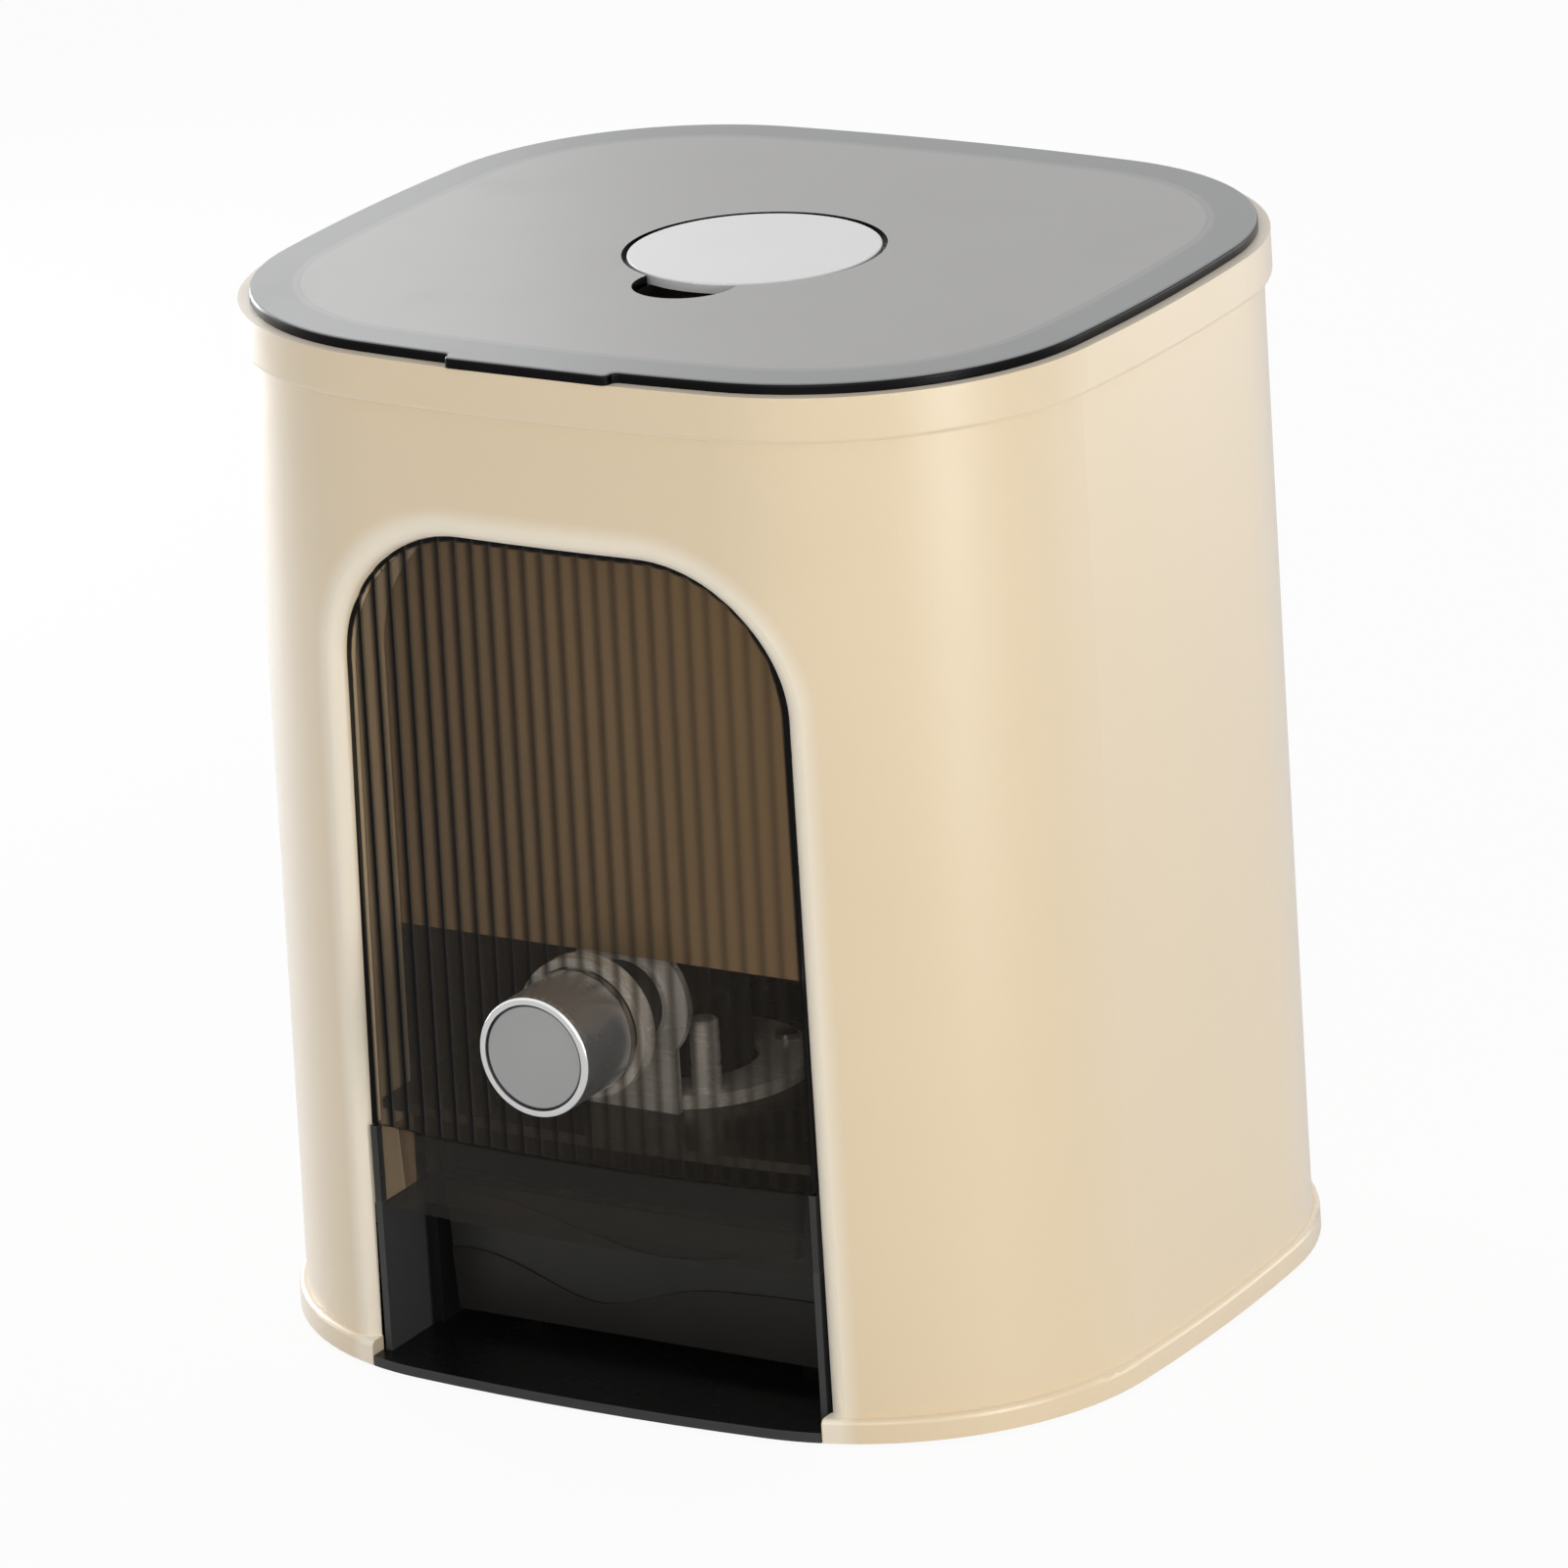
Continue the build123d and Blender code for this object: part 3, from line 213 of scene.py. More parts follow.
# In the alcove the cheeks in front of the step are painted lighter, painted light, and the tunnel behind
# the step is painted darker, painted shade
low = calc(tree, "LESS_THAN", spot["Z"], ALCOVE_TOP)
before_step = ease(tree, spot["Y"], CHEEK_STEP - CHEEK_FADE, CHEEK_STEP, 1.0, 0.0)
cheek_painted_light = calc(tree, "MULTIPLY", before_step, low)
tunnel_painted_shade = calc(tree, "SUBTRACT", low, cheek_painted_light)
upright = tint(tree, skin["Flow"], *BLACK_TONES)
upright = tint(tree, cheek_painted_light, upright, CHEEK_LIT_TONE)
upright = tint(tree, tunnel_painted_shade, upright, TUNNEL_SHADE_TONE)
# Faces that look up are painted darker, painted shade, and are smoother too
level = ease(tree, facing(tree, "Z"), *LEVEL_EDGES)
tree.links.new(tint(tree, level, upright, LEVEL_SHADE_TONE), shader["Base Color"])
grain_rough = between(tree, skin["Rub"], *BLACK_ROUGH)
tree.links.new(calc(tree, "MULTIPLY_ADD", level, LEVEL_SMOOTHER, grain_rough), shader["Roughness"])
raise_skin(tree, shader, skin["Grain"], BLACK_GRAIN_DEPTH)
dress(black_plastic, "base", "bay_deck")

# ---------------------------------------------------------------------------------------------------
# Feet: four pads under the floor that keep the dispenser from sliding when the button is pushed.
# Cut from dull black rubber, a little dusty, and stuck in shallow recesses of the base.
# ---------------------------------------------------------------------------------------------------

RUBBER_GRAIN, RUBBER_GRAIN_DEPTH = 900.0, 0.00008
RUBBER_TONES = (0.016, 0.016, 0.016), (0.040, 0.038, 0.035)

foot_rubber, tree, shader = new_finish("foot_rubber", (0.02, 0.02, 0.02), 0.8, Specular_IOR_Level=0.25)
skin = place(tree, moulded_skin, Grain_Scale=RUBBER_GRAIN)
tree.links.new(tint(tree, skin["Rub"], *RUBBER_TONES), shader["Base Color"])
raise_skin(tree, shader, skin["Grain"], RUBBER_GRAIN_DEPTH)
dress(foot_rubber, "feet")

# ---------------------------------------------------------------------------------------------------
# Screws: the pan heads that hold the base, the deck, the clamp ring, the end cap and the button.
# Headed and rolled in steel, then plated with bright zinc.
# ---------------------------------------------------------------------------------------------------

LINE_STRETCH = (0.05, 1.0, 1.0)
CLOUD_SCALE = 40.0
ZINC_LINES = 1400.0
ZINC_TONES = (0.44, 0.45, 0.47), (0.62, 0.62, 0.62)
ZINC_ROUGH = (0.2, 0.4)

# Turned metal: Lines is fine noise drawn out along the way the tool or belt ran, Cloud a slow drift
turned_metal, given, put = effect("turned_metal", {"Line Scale": ZINC_LINES}, ("Lines", "Cloud"))
spot = object_place(turned_metal, LINE_STRETCH)
turned_metal.links.new(noise(turned_metal, spot, given["Line Scale"], 3.0), put["Lines"])
turned_metal.links.new(noise(turned_metal, object_place(turned_metal), CLOUD_SCALE, 3.0), put["Cloud"])

zinc_steel, tree, shader = new_finish("zinc_steel", (0.55, 0.56, 0.58), 0.3, Metallic=1.0)
metal = place(tree, turned_metal, Line_Scale=ZINC_LINES)
tree.links.new(tint(tree, metal["Cloud"], *ZINC_TONES), shader["Base Color"])
tree.links.new(between(tree, metal["Lines"], *ZINC_ROUGH), shader["Roughness"])
dress(zinc_steel, "base_screws", "deck_screws", "valve_screws", "end_cap_screws", "button_screw")

# ---------------------------------------------------------------------------------------------------
# Return spring: coiled steel wire in the barrel, between the spool's seat and the end cap.
# The end cap holds its rear end still. The real spring shortens by the button's travel; this copy is kept
# with the dispenser's body and stays as it is.
# ---------------------------------------------------------------------------------------------------

spring = bpy.data.objects.new("spring_coil", nodes["return_spring"].data.copy())
bpy.context.scene.collection.objects.link(spring)
for slot in spring.material_slots:
    slot.material = zinc_steel
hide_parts("return_spring")
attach(spring, "dispenser")
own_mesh(spring)

# ---------------------------------------------------------------------------------------------------
# Drawer: smoked see-through box with a flush grip strip and two waves raised on its set-back front.
# Moulded in one piece of dark brown clear plastic; it slides out on the base's rails.
# ---------------------------------------------------------------------------------------------------

WAVE_FACE, WAVE_STEP = -0.0895, 0.0007
BACK_WAVE_AT, FACE_AT, AHEAD_AT = (2.2, 1.2), (0.9, 0.1), (4.0, 2.6)  # in steps ahead of the face
STRIP_BACK, STRIP_FADE = -0.108, 0.004
LAMP_CLEAR = (0.97, 0.96, 0.95)
FRONT_WAVE_TONE = (0.0140, 0.0125, 0.0100)
BACK_WAVE_TONE = (0.0235, 0.0230, 0.0220)
WAVE_FACE_TONE = (0.0130, 0.0135, 0.0140)
STRIP_TONE = (0.042, 0.040, 0.036)
DRAWER_DEEP_TONE, DRAWER_FLOW = (0.010, 0.0095, 0.009), (0.7, 1.0)
DRAWER_CLEAR, AHEAD_CLEAR = (0.82, 0.69, 0.53), (0.93, 0.88, 0.81)
STRIP_CLEAR = (0.84, 0.79, 0.73)
DRAWER_BODY, STRIP_BODY = (0.84, 0.12), 0.14
DRAWER_ROUGH, AHEAD_SMOOTHER = (0.32, 0.42), -0.22


def smoked_finish(name, gloss_colour, roughness, **sockets):
    """Smoked clear plastic: a tinted Transparent shader mixed with a dark glossy one, both open to lamps.

    Gives back the sockets that take the tint and the share of the glossy shader.
    """
    material, tree, shader = new_finish(name, gloss_colour, roughness, **sockets)
    rays = tree.nodes.new("ShaderNodeLightPath")
    clear = tree.nodes.new("ShaderNodeBsdfTransparent")
    open_air = tree.nodes.new("ShaderNodeBsdfTransparent")
    mixer = tree.nodes.new("ShaderNodeMixShader")
    lamp_mixer = tree.nodes.new("ShaderNodeMixShader")
    tree.links.new(clear.outputs["BSDF"], mixer.inputs[1])
    tree.links.new(tree.nodes["Principled BSDF"].outputs["BSDF"], mixer.inputs[2])
    lit = calc(tree, "MAXIMUM", rays.outputs["Is Shadow Ray"], rays.outputs["Is Diffuse Ray"])
    tree.links.new(lit, lamp_mixer.inputs["Fac"])
    tree.links.new(mixer.outputs["Shader"], lamp_mixer.inputs[1])
    tree.links.new(open_air.outputs["BSDF"], lamp_mixer.inputs[2])
    tree.links.new(lamp_mixer.outputs["Shader"], tree.nodes["Material Output"].inputs["Surface"])
    open_air.inputs["Color"].default_value = (*LAMP_CLEAR, 1.0)
    return material, tree, shader, clear.inputs["Color"], mixer.inputs["Fac"]


def wave_ease(tree, depth, near, far, start=0.0, end=1.0):
    """A smooth step between two depths, each counted forward from the wave face in steps of its relief."""
    return ease(tree, depth, WAVE_FACE - near * WAVE_STEP, WAVE_FACE - far * WAVE_STEP, start, end)


smoked_drawer, tree, shader, clear, solid = smoked_finish(
    "smoked_drawer", (0.010, 0.009, 0.008), 0.12, Specular_IOR_Level=0.35
)
skin = place(tree, moulded_skin)
depth = object_spot(tree)["Y"]
wave_tone = tint(tree, wave_ease(tree, depth, *BACK_WAVE_AT), FRONT_WAVE_TONE, BACK_WAVE_TONE)
wave_tone = tint(tree, wave_ease(tree, depth, *FACE_AT), wave_tone, WAVE_FACE_TONE)
# The grip strip and its ledge, ahead of the waves, are the clearest: the waves show through them
ahead = wave_ease(tree, depth, *AHEAD_AT, 1.0, 0.0)
strip = ease(tree, depth, STRIP_BACK - STRIP_FADE, STRIP_BACK, 1.0, 0.0)
wave_tone = tint(tree, strip, wave_tone, STRIP_TONE)
drawer_body = between(tree, ahead, *DRAWER_BODY)
tree.links.new(calc(tree, "MULTIPLY_ADD", strip, STRIP_BODY, drawer_body), solid)
clear_tone = tint(tree, ahead, DRAWER_CLEAR, AHEAD_CLEAR)
tree.links.new(tint(tree, strip, clear_tone, STRIP_CLEAR), clear)
flow = between(tree, skin["Flow"], *DRAWER_FLOW)
tree.links.new(tint(tree, flow, DRAWER_DEEP_TONE, wave_tone), shader["Base Color"])
face_rough = between(tree, skin["Rub"], *DRAWER_ROUGH)
tree.links.new(calc(tree, "MULTIPLY_ADD", ahead, AHEAD_SMOOTHER, face_rough), shader["Roughness"])
dress(smoked_drawer, "drawer")

# ---------------------------------------------------------------------------------------------------
# Valve: barrel, spool and end cap moulded in black plastic; clamp ring, posts, gland plate and bush.
# Those four are castings in satin silver paint; screws hold the clamp ring to the deck.
# ---------------------------------------------------------------------------------------------------

SILVER_LINES = 700.0
SILVER_TONES = (0.76, 0.80, 0.86), (0.92, 0.95, 0.99)
SILVER_ROUGH = (0.18, 0.34)

satin_silver, tree, shader = new_finish("satin_silver", (0.76, 0.80, 0.86), 0.24, Metallic=0.2)
metal = place(tree, turned_metal, Line_Scale=SILVER_LINES)
tree.links.new(tint(tree, metal["Cloud"], *SILVER_TONES), shader["Base Color"])
tree.links.new(between(tree, metal["Lines"], *SILVER_ROUGH), shader["Roughness"])
dress(satin_silver, "valve_flange", "flange_posts", "gland_plate", "button_bush")
dress(black_plastic, "valve_body", "valve_end_cap", "spool")

# ---------------------------------------------------------------------------------------------------
# Seals: soft rings at the hopper's outlet and round the lid's plug wall, which keep the rice dry.
# Moulded in pale grey silicone and pressed into their places.
# ---------------------------------------------------------------------------------------------------

SILICONE_GRAIN, SILICONE_GRAIN_DEPTH = 500.0, 0.00003
SILICONE_TONES = (0.40, 0.39, 0.37), (0.52, 0.51, 0.49)

silicone, tree, shader = new_finish("silicone", (0.45, 0.44, 0.42), 0.55, Subsurface_Weight=0.1)
skin = place(tree, moulded_skin, Grain_Scale=SILICONE_GRAIN)
tree.links.new(tint(tree, skin["Flow"], *SILICONE_TONES), shader["Base Color"])
raise_skin(tree, shader, skin["Grain"], SILICONE_GRAIN_DEPTH)
dress(silicone, "inlet_seal", "lid_seal")

# ---------------------------------------------------------------------------------------------------
# Cream body: the tapered outer shell with its hem and arched window, and the rice bin inside it.
# Moulded in cream plastic with a satin skin; the bin's collar turns down over the shell's top.
# ---------------------------------------------------------------------------------------------------

ARCH_FOOT, ARCH_LEAN, ARCH_TOP, ARCH_ROUND = 0.0735, 0.0115, 0.2519, 0.0432
FRONT_WALL = -0.1
LIP_WIDTH, LIP_DROP = 0.0105, 0.0008
LIP_START = (0.0002, 0.0010)
LIP_PALE_WIDTH, LIP_PALE_SHARE = 0.0045, 0.9
LIP_HIGHLIGHT_TONE = (0.94, 0.84, 0.67)
CREAM_GRAIN, CREAM_GRAIN_DEPTH = 1700.0, 0.00003
CREAM_TONES = (0.780, 0.620, 0.397), (0.812, 0.651, 0.427)
CREAM_ROUGH = (0.40, 0.35)
BIN_FRONT_TOP, BIN_FRONT_HALF, BIN_FRONT_TURN = 0.262, -0.05, -0.5
BIN_FRONT_SHADE_TONE = (0.325, 0.222, 0.112)


def span(tree, x, y):
    """The length of a plane vector from its two parts."""
    squares = calc(tree, "ADD", calc(tree, "MULTIPLY", x, x), calc(tree, "MULTIPLY", y, y))
    return calc(tree, "SQRT", squares)


def from_arch(tree):
    """How far a point lies outside the window's arch, less than zero inside it.

    Beyond the rounded corner's centre it is the distance to that centre less the radius, and elsewhere
    the greater of the distances past the leaning side and the level top.
    """
    spot = object_spot(tree)
    centre_z = ARCH_TOP - ARCH_ROUND
    centre_x = ARCH_FOOT - ARCH_LEAN * centre_z - ARCH_ROUND
    x_out = calc(tree, "ABSOLUTE", spot["X"])
    leaned = calc(tree, "MULTIPLY_ADD", spot["Z"], ARCH_LEAN, x_out)
    straight = calc(
        tree, "MAXIMUM",
        calc(tree, "SUBTRACT", leaned, ARCH_FOOT), calc(tree, "SUBTRACT", spot["Z"], ARCH_TOP),
    )
    past_x = calc(tree, "SUBTRACT", x_out, centre_x)
    past_z = calc(tree, "SUBTRACT", spot["Z"], centre_z)
    cornered = calc(tree, "GREATER_THAN", calc(tree, "MINIMUM", past_x, past_z), 0.0)
    rounded = calc(tree, "SUBTRACT", span(tree, past_x, past_z), ARCH_ROUND)
    return calc(tree, "MULTIPLY_ADD", cornered, calc(tree, "SUBTRACT", rounded, straight), straight)


def cream_finish(name):
    """Cream plastic with a satin coat, smoother where it is rubbed; gives back its skin and tone too."""
    material, tree, shader = new_finish(
        name, (0.796, 0.636, 0.412), 0.36, Specular_IOR_Level=0.8,
        Sheen_Weight=0.7, Sheen_Roughness=0.5, Coat_Weight=1.0, Coat_Roughness=0.38,
    )
    skin = place(tree, moulded_skin, Grain_Scale=CREAM_GRAIN)
    tree.links.new(between(tree, skin["Rub"], *CREAM_ROUGH), shader["Roughness"])
    return material, tree, shader, skin, tint(tree, skin["Flow"], *CREAM_TONES)


# The wall rolls softly into the window's lip, on the front only: it drops over the lip's width, and a band
# along the lip is painted paler, a painted highlight
cream_plastic, tree, shader, skin, wall_tone = cream_finish("cream_plastic")
off_arch = from_arch(tree)
front = calc(tree, "LESS_THAN", object_spot(tree)["Y"], FRONT_WALL)
lip = calc(tree, "MULTIPLY", ease(tree, off_arch, 0.0, LIP_WIDTH, -LIP_DROP, 0.0), front)
outside = calc(tree, "MULTIPLY", ease(tree, off_arch, *LIP_START), front)
pale = ease(tree, off_arch, LIP_PALE_WIDTH, LIP_WIDTH, LIP_PALE_SHARE, 0.0)
lip_painted_highlight = calc(tree, "MULTIPLY", pale, outside)
tree.links.new(tint(tree, lip_painted_highlight, wall_tone, LIP_HIGHLIGHT_TONE), shader["Base Color"])
raise_skin(tree, shader, calc(tree, "MULTIPLY_ADD", skin["Grain"], CREAM_GRAIN_DEPTH, lip))
dress(cream_plastic, "outer_shell")

# The bin's front wall, behind the pane, is painted browner and darker than the rest of it: painted shade
# of the smoked pane in front of it
bin_plastic, tree, shader, skin, bin_tone = cream_finish("bin_plastic")
spot = object_spot(tree)
forward = calc(tree, "LESS_THAN", facing(tree, "Y"), BIN_FRONT_TURN)
in_front_half = calc(tree, "LESS_THAN", spot["Y"], BIN_FRONT_HALF)
below_collar = calc(tree, "LESS_THAN", spot["Z"], BIN_FRONT_TOP)
pane_painted_shade = calc(tree, "MULTIPLY", calc(tree, "MULTIPLY", forward, in_front_half), below_collar)
tree.links.new(tint(tree, pane_painted_shade, bin_tone, BIN_FRONT_SHADE_TONE), shader["Base Color"])
raise_skin(tree, shader, skin["Grain"], CREAM_GRAIN_DEPTH)
dress(bin_plastic, "hopper")

# ---------------------------------------------------------------------------------------------------
# Front panel: smoked, reeded pane bowed across the arched window, clipped into the shell's seat.
# Moulded in brown clear plastic; the valleys between its reeds look almost black from the side, which is
# painted in as painted shade.
# ---------------------------------------------------------------------------------------------------

RIB_PITCH, RIB_EDGE = 0.0057, 0.07695
PANE_RADIUS = 0.592
EDGE_LINE, EDGE_FADE = 0.0017, (0.6, 1.3)
OBLIQUE_EDGES, VALLEY_EDGES = (0.12, 0.28), (0.22, 1.0)
VALLEY_DEPTH, VALLEY_BODY = (0.40, 1.00), 0.62
PANE_BODY = (0.14, 0.42)
PANE_CLEAR = (0.88, 0.83, 0.76), (0.60, 0.52, 0.43)
REED_AND_VALLEY_SHADE_TONES = (0.036, 0.031, 0.025), (0.002, 0.002, 0.002)
PANE_EDGE_SHADE_TONE = (0.002, 0.002, 0.002)
PANE_ROUGH = (0.08, 0.14)

smoked_panel, tree, shader, clear, solid = smoked_finish(
    "smoked_panel", (0.030, 0.026, 0.021), 0.10, Specular_IOR_Level=0.12
)
across = object_spot(tree)["X"]
reed = calc(tree, "FRACT", calc(tree, "DIVIDE", calc(tree, "ADD", across, RIB_EDGE), RIB_PITCH))
from_crest = calc(tree, "MULTIPLY", calc(tree, "ABSOLUTE", calc(tree, "SUBTRACT", reed, 0.5)), 2.0)
sides = tree.nodes.new("ShaderNodeNewGeometry")
reeded = calc(tree, "SUBTRACT", 1.0, sides.outputs["Backfacing"])

# The reeds are less see-through where the bowed pane is looked at more from the side
bow_way = tree.nodes.new("ShaderNodeCombineXYZ")
tree.links.new(calc(tree, "DIVIDE", across, PANE_RADIUS), bow_way.inputs["X"])
bow_way.inputs["Y"].default_value = -1.0
bow_normal = tree.nodes.new("ShaderNodeVectorMath")
bow_normal.operation = "NORMALIZE"
tree.links.new(bow_way.outputs["Vector"], bow_normal.inputs[0])
slant = tree.nodes.new("ShaderNodeLayerWeight")
tree.links.new(bow_normal.outputs["Vector"], slant.inputs["Normal"])
oblique = ease(tree, slant.outputs["Facing"], *OBLIQUE_EDGES)
# The valleys are painted darker and less see-through, more so from the side: painted shade
valley = calc(tree, "MULTIPLY", ease(tree, from_crest, *VALLEY_EDGES), reeded)
valley = calc(tree, "MULTIPLY", valley, between(tree, oblique, *VALLEY_DEPTH))

# A dark band is painted round the pane's edge: partly its thick edge, which looks black, partly painted
# shade of the gap round it
edge_in = calc(tree, "MULTIPLY", from_arch(tree), -1.0)
edge = ease(tree, edge_in, EDGE_LINE * EDGE_FADE[0], EDGE_LINE * EDGE_FADE[1], 1.0, 0.0)

pane_body = between(tree, oblique, *PANE_BODY)
body_share = calc(tree, "MULTIPLY_ADD", valley, VALLEY_BODY, pane_body)
tree.links.new(calc(tree, "MAXIMUM", body_share, edge), solid)
tree.links.new(tint(tree, valley, *PANE_CLEAR), clear)
reed_tone = tint(tree, valley, *REED_AND_VALLEY_SHADE_TONES)
tree.links.new(tint(tree, edge, reed_tone, PANE_EDGE_SHADE_TONE), shader["Base Color"])
skin = place(tree, moulded_skin)
tree.links.new(between(tree, skin["Rub"], *PANE_ROUGH), shader["Roughness"])
dress(smoked_panel, "front_panel")

# ---------------------------------------------------------------------------------------------------
# Push button: a chromed sleeve with a satin silver disc set in its front, on the spool's rod.
# The sleeve is painted darker along its side, partly smoked chrome and partly a painted reflection of the
# dark pane, and brighter round the polished front rim, a painted highlight.
# ---------------------------------------------------------------------------------------------------

BUTTON_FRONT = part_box("button_sleeve")[0][1]
BUTTON_AXIS = (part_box("button_face")[0][2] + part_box("button_face")[1][2]) / 2
FACE_RADIUS = (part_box("button_face")[1][0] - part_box("button_face")[0][0]) / 2
RIM_END, SIDE_START = 0.0012, 0.0030
CHROME_REFLECTION_TONES = (0.86, 0.86, 0.86), (0.58, 0.575, 0.57)
CHROME_ROUGH, SIDE_ROUGHER = (0.08, 0.16), 0.16
FACE_LINES, FACE_LINE_DEPTH = 1600.0, 0.000002
FACE_TONES = (0.41, 0.41, 0.41), (0.46, 0.46, 0.46)
FACE_ROUGH = (0.38, 0.48)
GAP_START, GAP_FULL = 0.0009, 0.0004
GAP_SHADE_TONE = (0.03, 0.03, 0.03)

chrome, tree, shader = new_finish("chrome", (0.62, 0.60, 0.58), 0.12, Metallic=0.9)
# Darker side and brighter rim: partly painted reflection and painted highlight
side = ease(tree, object_spot(tree)["Y"], BUTTON_FRONT + RIM_END, BUTTON_FRONT + SIDE_START)
metal = place(tree, turned_metal)
tree.links.new(tint(tree, side, *CHROME_REFLECTION_TONES), shader["Base Color"])
rim_rough = between(tree, metal["Cloud"], *CHROME_ROUGH)
tree.links.new(calc(tree, "MULTIPLY_ADD", side, SIDE_ROUGHER, rim_rough), shader["Roughness"])
dress(chrome, "button_sleeve")

button_silver, tree, shader = new_finish("button_silver", (0.42, 0.42, 0.42), 0.42, Metallic=0.9)
metal = place(tree, turned_metal, Line_Scale=FACE_LINES)
spot = object_spot(tree)
from_axis = span(tree, spot["X"], calc(tree, "SUBTRACT", spot["Z"], BUTTON_AXIS))
# A thin dark ring is painted round the face's edge: painted shade of the gap between face and sleeve
gap = ease(tree, from_axis, FACE_RADIUS - GAP_START, FACE_RADIUS - GAP_FULL)
face_tone = tint(tree, metal["Cloud"], *FACE_TONES)
tree.links.new(tint(tree, gap, face_tone, GAP_SHADE_TONE), shader["Base Color"])
tree.links.new(between(tree, metal["Cloud"], *FACE_ROUGH), shader["Roughness"])
raise_skin(tree, shader, metal["Lines"], FACE_LINE_DEPTH)
dress(button_silver, "button_face")

# ---------------------------------------------------------------------------------------------------
# Lid: a smoked plate with a finger tab and a plug wall below, lifted off by hand, and the dark cup
# of the desiccant pocket under it. Both are moulded plastic; the plate's top is satin, the outer band
# over the collar is cooler, and its rim looks black edge-on.
# ---------------------------------------------------------------------------------------------------

PLAN_X, PLAN_Y, SIDE_BULGE, FRONT_BULGE, CORNER = 0.124, 0.1135, 0.010, 0.011, 0.082
LID_IN = 0.0044
LINE_IN, LINE_EDGES, LINE_SHARE = 0.0140, (0.0002, 0.0010), 0.35
BAND_FADE_OUT, BAND_FADE_IN = 0.0030, 0.0006
TOP_EDGES = (0.55, 0.92)
BAND_TONE, TOP_TONE = (0.262, 0.266, 0.272), (0.405, 0.397, 0.390)
LINE_TONE, RIM_TONE = (0.22, 0.22, 0.23), (0.012, 0.012, 0.013)
LID_GRAIN, LID_GRAIN_DEPTH = 1200.0, 0.00001
LID_ROUGH = (0.30, 0.32)
CUP_TONES, CUP_ROUGH = ((0.014, 0.012, 0.010), (0.030, 0.024, 0.018)), (0.22, 0.32)

# The lid's outline: a big arc for the front, one for the side, and a corner arc that touches both.
# The corner's centre lies where circles round the big arcs' centres, smaller by its radius, cross
front_radius = (PLAN_X ** 2 + FRONT_BULGE ** 2) / (2 * FRONT_BULGE)
side_radius = (PLAN_Y ** 2 + SIDE_BULGE ** 2) / (2 * SIDE_BULGE)
front_back = front_radius - PLAN_Y - FRONT_BULGE
side_back = side_radius - PLAN_X - SIDE_BULGE
base_line = np.hypot(side_back, front_back)
to_front, to_side = front_radius - CORNER, side_radius - CORNER
along_line = (to_side ** 2 - to_front ** 2 + base_line ** 2) / (2 * base_line)
off_line = np.sqrt(to_side ** 2 - along_line ** 2)
line_x, line_y = np.array((side_back, -front_back)) / base_line
corner_x = float(-side_back + along_line * line_x - off_line * line_y)
corner_y = float(along_line * line_y + off_line * line_x)

lid_plastic, tree, shader = new_finish("lid_plastic", (0.36, 0.36, 0.36), 0.34, Specular_IOR_Level=0.6)
spot = object_spot(tree)
x_out = calc(tree, "ABSOLUTE", spot["X"])
y_out = calc(tree, "ABSOLUTE", spot["Y"])
x_from_side = calc(tree, "ADD", x_out, side_back)
y_from_front = calc(tree, "ADD", y_out, front_back)
x_from_corner = calc(tree, "SUBTRACT", x_out, corner_x)
y_from_corner = calc(tree, "SUBTRACT", y_out, corner_y)

# Distance in from the rim: the least of each arc's radius less the distance to its centre, the corner's
# arc only where the point lies beyond the corner's centre as seen from both big arcs' centres
in_front = calc(tree, "SUBTRACT", front_radius - LID_IN, span(tree, x_out, y_from_front))
in_side = calc(tree, "SUBTRACT", side_radius - LID_IN, span(tree, x_from_side, y_out))
in_corner = calc(tree, "SUBTRACT", CORNER - LID_IN, span(tree, x_from_corner, y_from_corner))
front_slope, side_slope = corner_x / (corner_y + front_back), corner_y / (corner_x + side_back)
past_front = calc(tree, "GREATER_THAN", x_out, calc(tree, "MULTIPLY", y_from_front, front_slope))
past_side = calc(tree, "GREATER_THAN", y_out, calc(tree, "MULTIPLY", x_from_side, side_slope))
at_corner = calc(tree, "MULTIPLY", past_front, past_side)
straight = calc(tree, "MINIMUM", in_front, in_side)
inset = calc(tree, "MULTIPLY_ADD", at_corner, calc(tree, "SUBTRACT", in_corner, straight), straight)

inner = ease(tree, inset, LINE_IN - BAND_FADE_OUT, LINE_IN + BAND_FADE_IN)
off_seam = calc(tree, "ABSOLUTE", calc(tree, "SUBTRACT", inset, LINE_IN))
seam = calc(tree, "MULTIPLY", ease(tree, off_seam, *LINE_EDGES, 1.0, 0.0), LINE_SHARE)
top = ease(tree, facing(tree, "Z"), *TOP_EDGES)
skin = place(tree, moulded_skin, Grain_Scale=LID_GRAIN)
lid_tone = tint(tree, seam, tint(tree, inner, BAND_TONE, TOP_TONE), LINE_TONE)
tree.links.new(tint(tree, top, RIM_TONE, lid_tone), shader["Base Color"])
tree.links.new(calc(tree, "SUBTRACT", 1.0, top), shader["Metallic"])
tree.links.new(between(tree, skin["Rub"], *LID_ROUGH), shader["Roughness"])
raise_skin(tree, shader, skin["Grain"], LID_GRAIN_DEPTH)
dress(lid_plastic, "lid")

cup_plastic, tree, shader = new_finish("cup_plastic", (0.02, 0.018, 0.016), 0.3)
skin = place(tree, moulded_skin)
tree.links.new(tint(tree, skin["Flow"], *CUP_TONES), shader["Base Color"])
tree.links.new(between(tree, skin["Rub"], *CUP_ROUGH), shader["Roughness"])
dress(cup_plastic, "desiccant_cup")

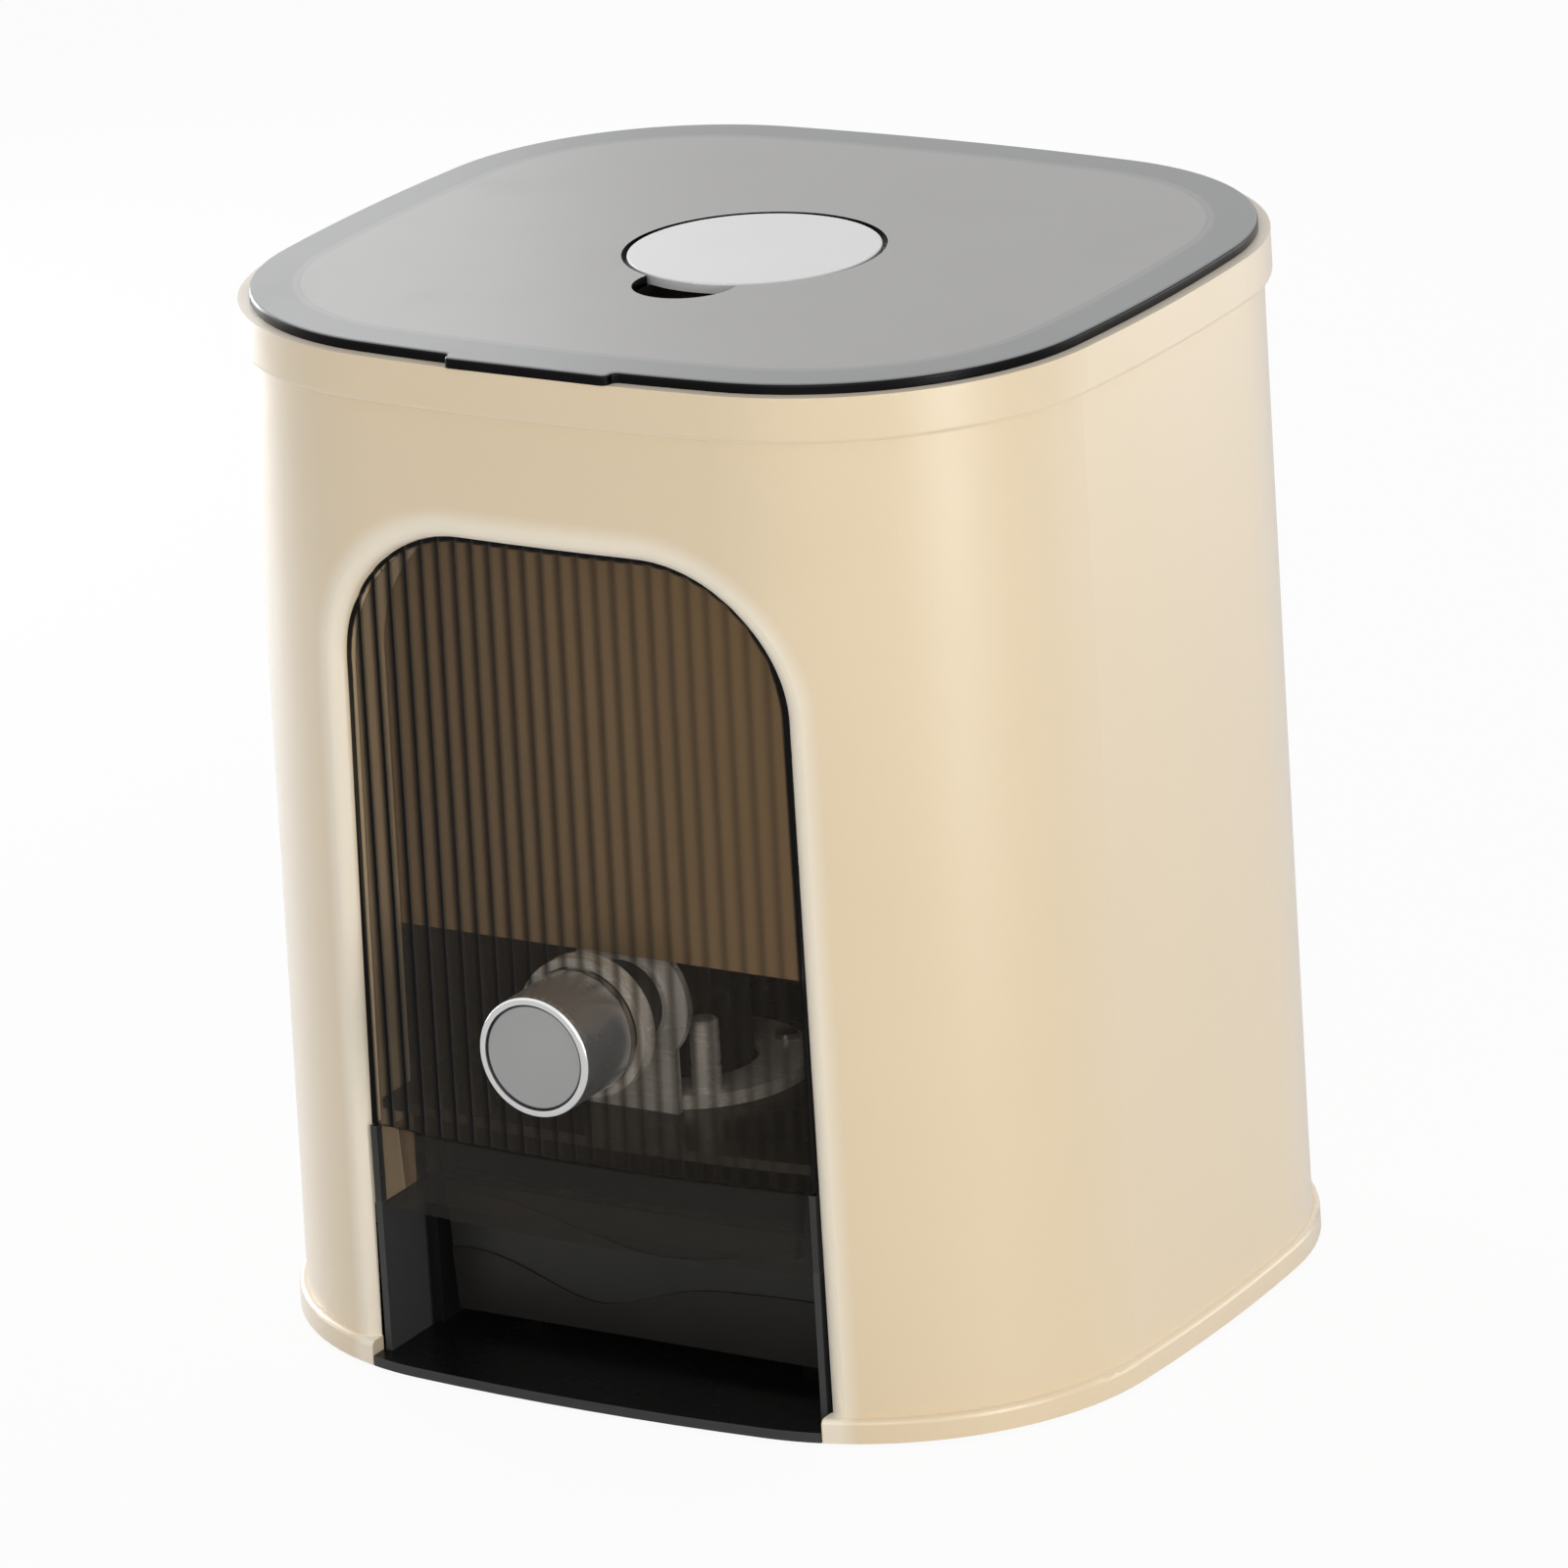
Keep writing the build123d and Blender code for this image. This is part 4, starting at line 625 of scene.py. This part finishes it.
# ---------------------------------------------------------------------------------------------------
# Disc: silver-white cap of the desiccant pocket, flush in the lid, lifted out by the notch beside it.
# Moulded plastic, painted with a fine silver flake.
# ---------------------------------------------------------------------------------------------------

PAINT_LINES, PAINT_LINE_DEPTH = 2200.0, 0.000008
PAINT_TONES = (0.88, 0.88, 0.88), (0.92, 0.92, 0.92)
PAINT_ROUGH = (0.28, 0.40)

silver_paint, tree, shader = new_finish("silver_paint", (0.90, 0.90, 0.90), 0.34, Metallic=0.15)
metal = place(tree, turned_metal, Line_Scale=PAINT_LINES)
tree.links.new(tint(tree, metal["Cloud"], *PAINT_TONES), shader["Base Color"])
tree.links.new(between(tree, metal["Lines"], *PAINT_ROUGH), shader["Roughness"])
raise_skin(tree, shader, metal["Lines"], PAINT_LINE_DEPTH)
dress(silver_paint, "desiccant_cap")

# ---------------------------------------------------------------------------------------------------
# Studio: a plain pale floor, which the camera sees nearly white and which keeps the object's shadow,
# and a white surround that glossy faces show. Six soft lamps light the object: a key and a sheen at
# the right, a rim at the left, a sheen for the lid, a glint for the reeds and a fill at the front.
# ---------------------------------------------------------------------------------------------------

FLOOR_HALF = 6.0
FLOOR_GLOW = 0.94
WORLD_FILL = 0.50
MIDDLE = Vector((0.0, 0.0, 0.15))

floor_mesh = bpy.data.meshes.new("floor")
floor_mesh.from_pydata(
    [
        (-FLOOR_HALF, -FLOOR_HALF, 0), (FLOOR_HALF, -FLOOR_HALF, 0),
        (FLOOR_HALF, FLOOR_HALF, 0), (-FLOOR_HALF, FLOOR_HALF, 0),
    ],
    [], [(0, 1, 2, 3)],
)
floor = bpy.data.objects.new("floor", floor_mesh)
bpy.context.scene.collection.objects.link(floor)
floor_white, tree, shader = new_finish("floor_white", (0.86, 0.86, 0.86), 0.9, Specular_IOR_Level=0.0)
rays = tree.nodes.new("ShaderNodeLightPath")
glow = tree.nodes.new("ShaderNodeEmission")
mixer = tree.nodes.new("ShaderNodeMixShader")
tree.links.new(calc(tree, "MULTIPLY", rays.outputs["Is Camera Ray"], FLOOR_GLOW), mixer.inputs["Fac"])
tree.links.new(tree.nodes["Principled BSDF"].outputs["BSDF"], mixer.inputs[1])
tree.links.new(glow.outputs["Emission"], mixer.inputs[2])
tree.links.new(mixer.outputs["Shader"], tree.nodes["Material Output"].inputs["Surface"])
floor_mesh.materials.append(floor_white)

surround = bpy.data.worlds.new("surround")
bpy.context.scene.world = surround
surround.use_nodes = True
tree = surround.node_tree
rays = tree.nodes.new("ShaderNodeLightPath")
seen = calc(
    tree, "MAXIMUM", rays.outputs["Is Camera Ray"],
    calc(tree, "MAXIMUM", rays.outputs["Is Glossy Ray"], rays.outputs["Is Transmission Ray"]),
)
back = tree.nodes["Background"]
back.inputs["Color"].default_value = (1.0, 1.0, 1.0, 1.0)
tree.links.new(ease(tree, seen, 0.0, 1.0, WORLD_FILL, 1.0), back.inputs["Strength"])

# Each lamp: where it stands, its two sizes and its power in watts; all look at the object's middle
for name, stand, width, height, power in (
    ("key_right", (1.49, -0.57, 0.30), 0.22, 0.6, 6.0),
    ("sheen_right", (0.90, 1.20, 0.20), 1.0, 0.5, 4.0),
    ("rim_left", (-1.21, 0.49, 0.30), 0.35, 0.7, 8.0),
    ("lid_sheen", (-0.99, 0.99, 0.75), 0.5, 0.4, 0.8),
    ("reed_glint", (-1.42, -0.06, 0.25), 0.015, 0.5, 0.9),
    ("front_fill", (0.60, -1.75, 0.80), 1.0, 0.9, 7.0),
):
    lamp = bpy.data.lights.new(name, "AREA")
    lamp.shape = "RECTANGLE"
    lamp.size, lamp.size_y, lamp.energy = width, height, power
    holder = bpy.data.objects.new(name, lamp)
    holder.location = stand
    holder.rotation_euler = (MIDDLE - Vector(stand)).to_track_quat("-Z", "Y").to_euler()
    bpy.context.scene.collection.objects.link(holder)

# ---------------------------------------------------------------------------------------------------
# Camera: a long lens from the front right and above, rolled a little as the photograph is.
# Its angles, distance and lens were fitted to the edges of the object in the photograph.
# ---------------------------------------------------------------------------------------------------

AZIMUTH, ELEVATION, ROLL = np.radians((31.353, 18.753, -3.278))
DISTANCE = 2.8444
LENS, SENSOR = 228.54, 36.0
SHIFT_X, SHIFT_Y = -0.00104, 0.0052
CLIP_END = 50.0
TARGET = Vector((0.0, 0.0, 0.144))

out = Vector((
    np.cos(ELEVATION) * np.sin(AZIMUTH), -np.cos(ELEVATION) * np.cos(AZIMUTH), np.sin(ELEVATION)
))
right = Vector((np.cos(AZIMUTH), np.sin(AZIMUTH), 0.0))
up = out.cross(right)
rolled_right = np.cos(ROLL) * right + np.sin(ROLL) * up
rolled_up = -np.sin(ROLL) * right + np.cos(ROLL) * up
camera = bpy.data.objects.new("camera", bpy.data.cameras.new("camera"))
camera.data.lens = LENS
camera.data.sensor_width = SENSOR
camera.data.shift_x, camera.data.shift_y = SHIFT_X, SHIFT_Y
camera.data.clip_end = CLIP_END
turn = Matrix((rolled_right, rolled_up, out)).transposed().to_4x4()
camera.matrix_world = Matrix.Translation(TARGET + DISTANCE * out) @ turn
bpy.context.scene.collection.objects.link(camera)
bpy.context.scene.camera = camera
bpy.context.scene.view_settings.view_transform = "Standard"
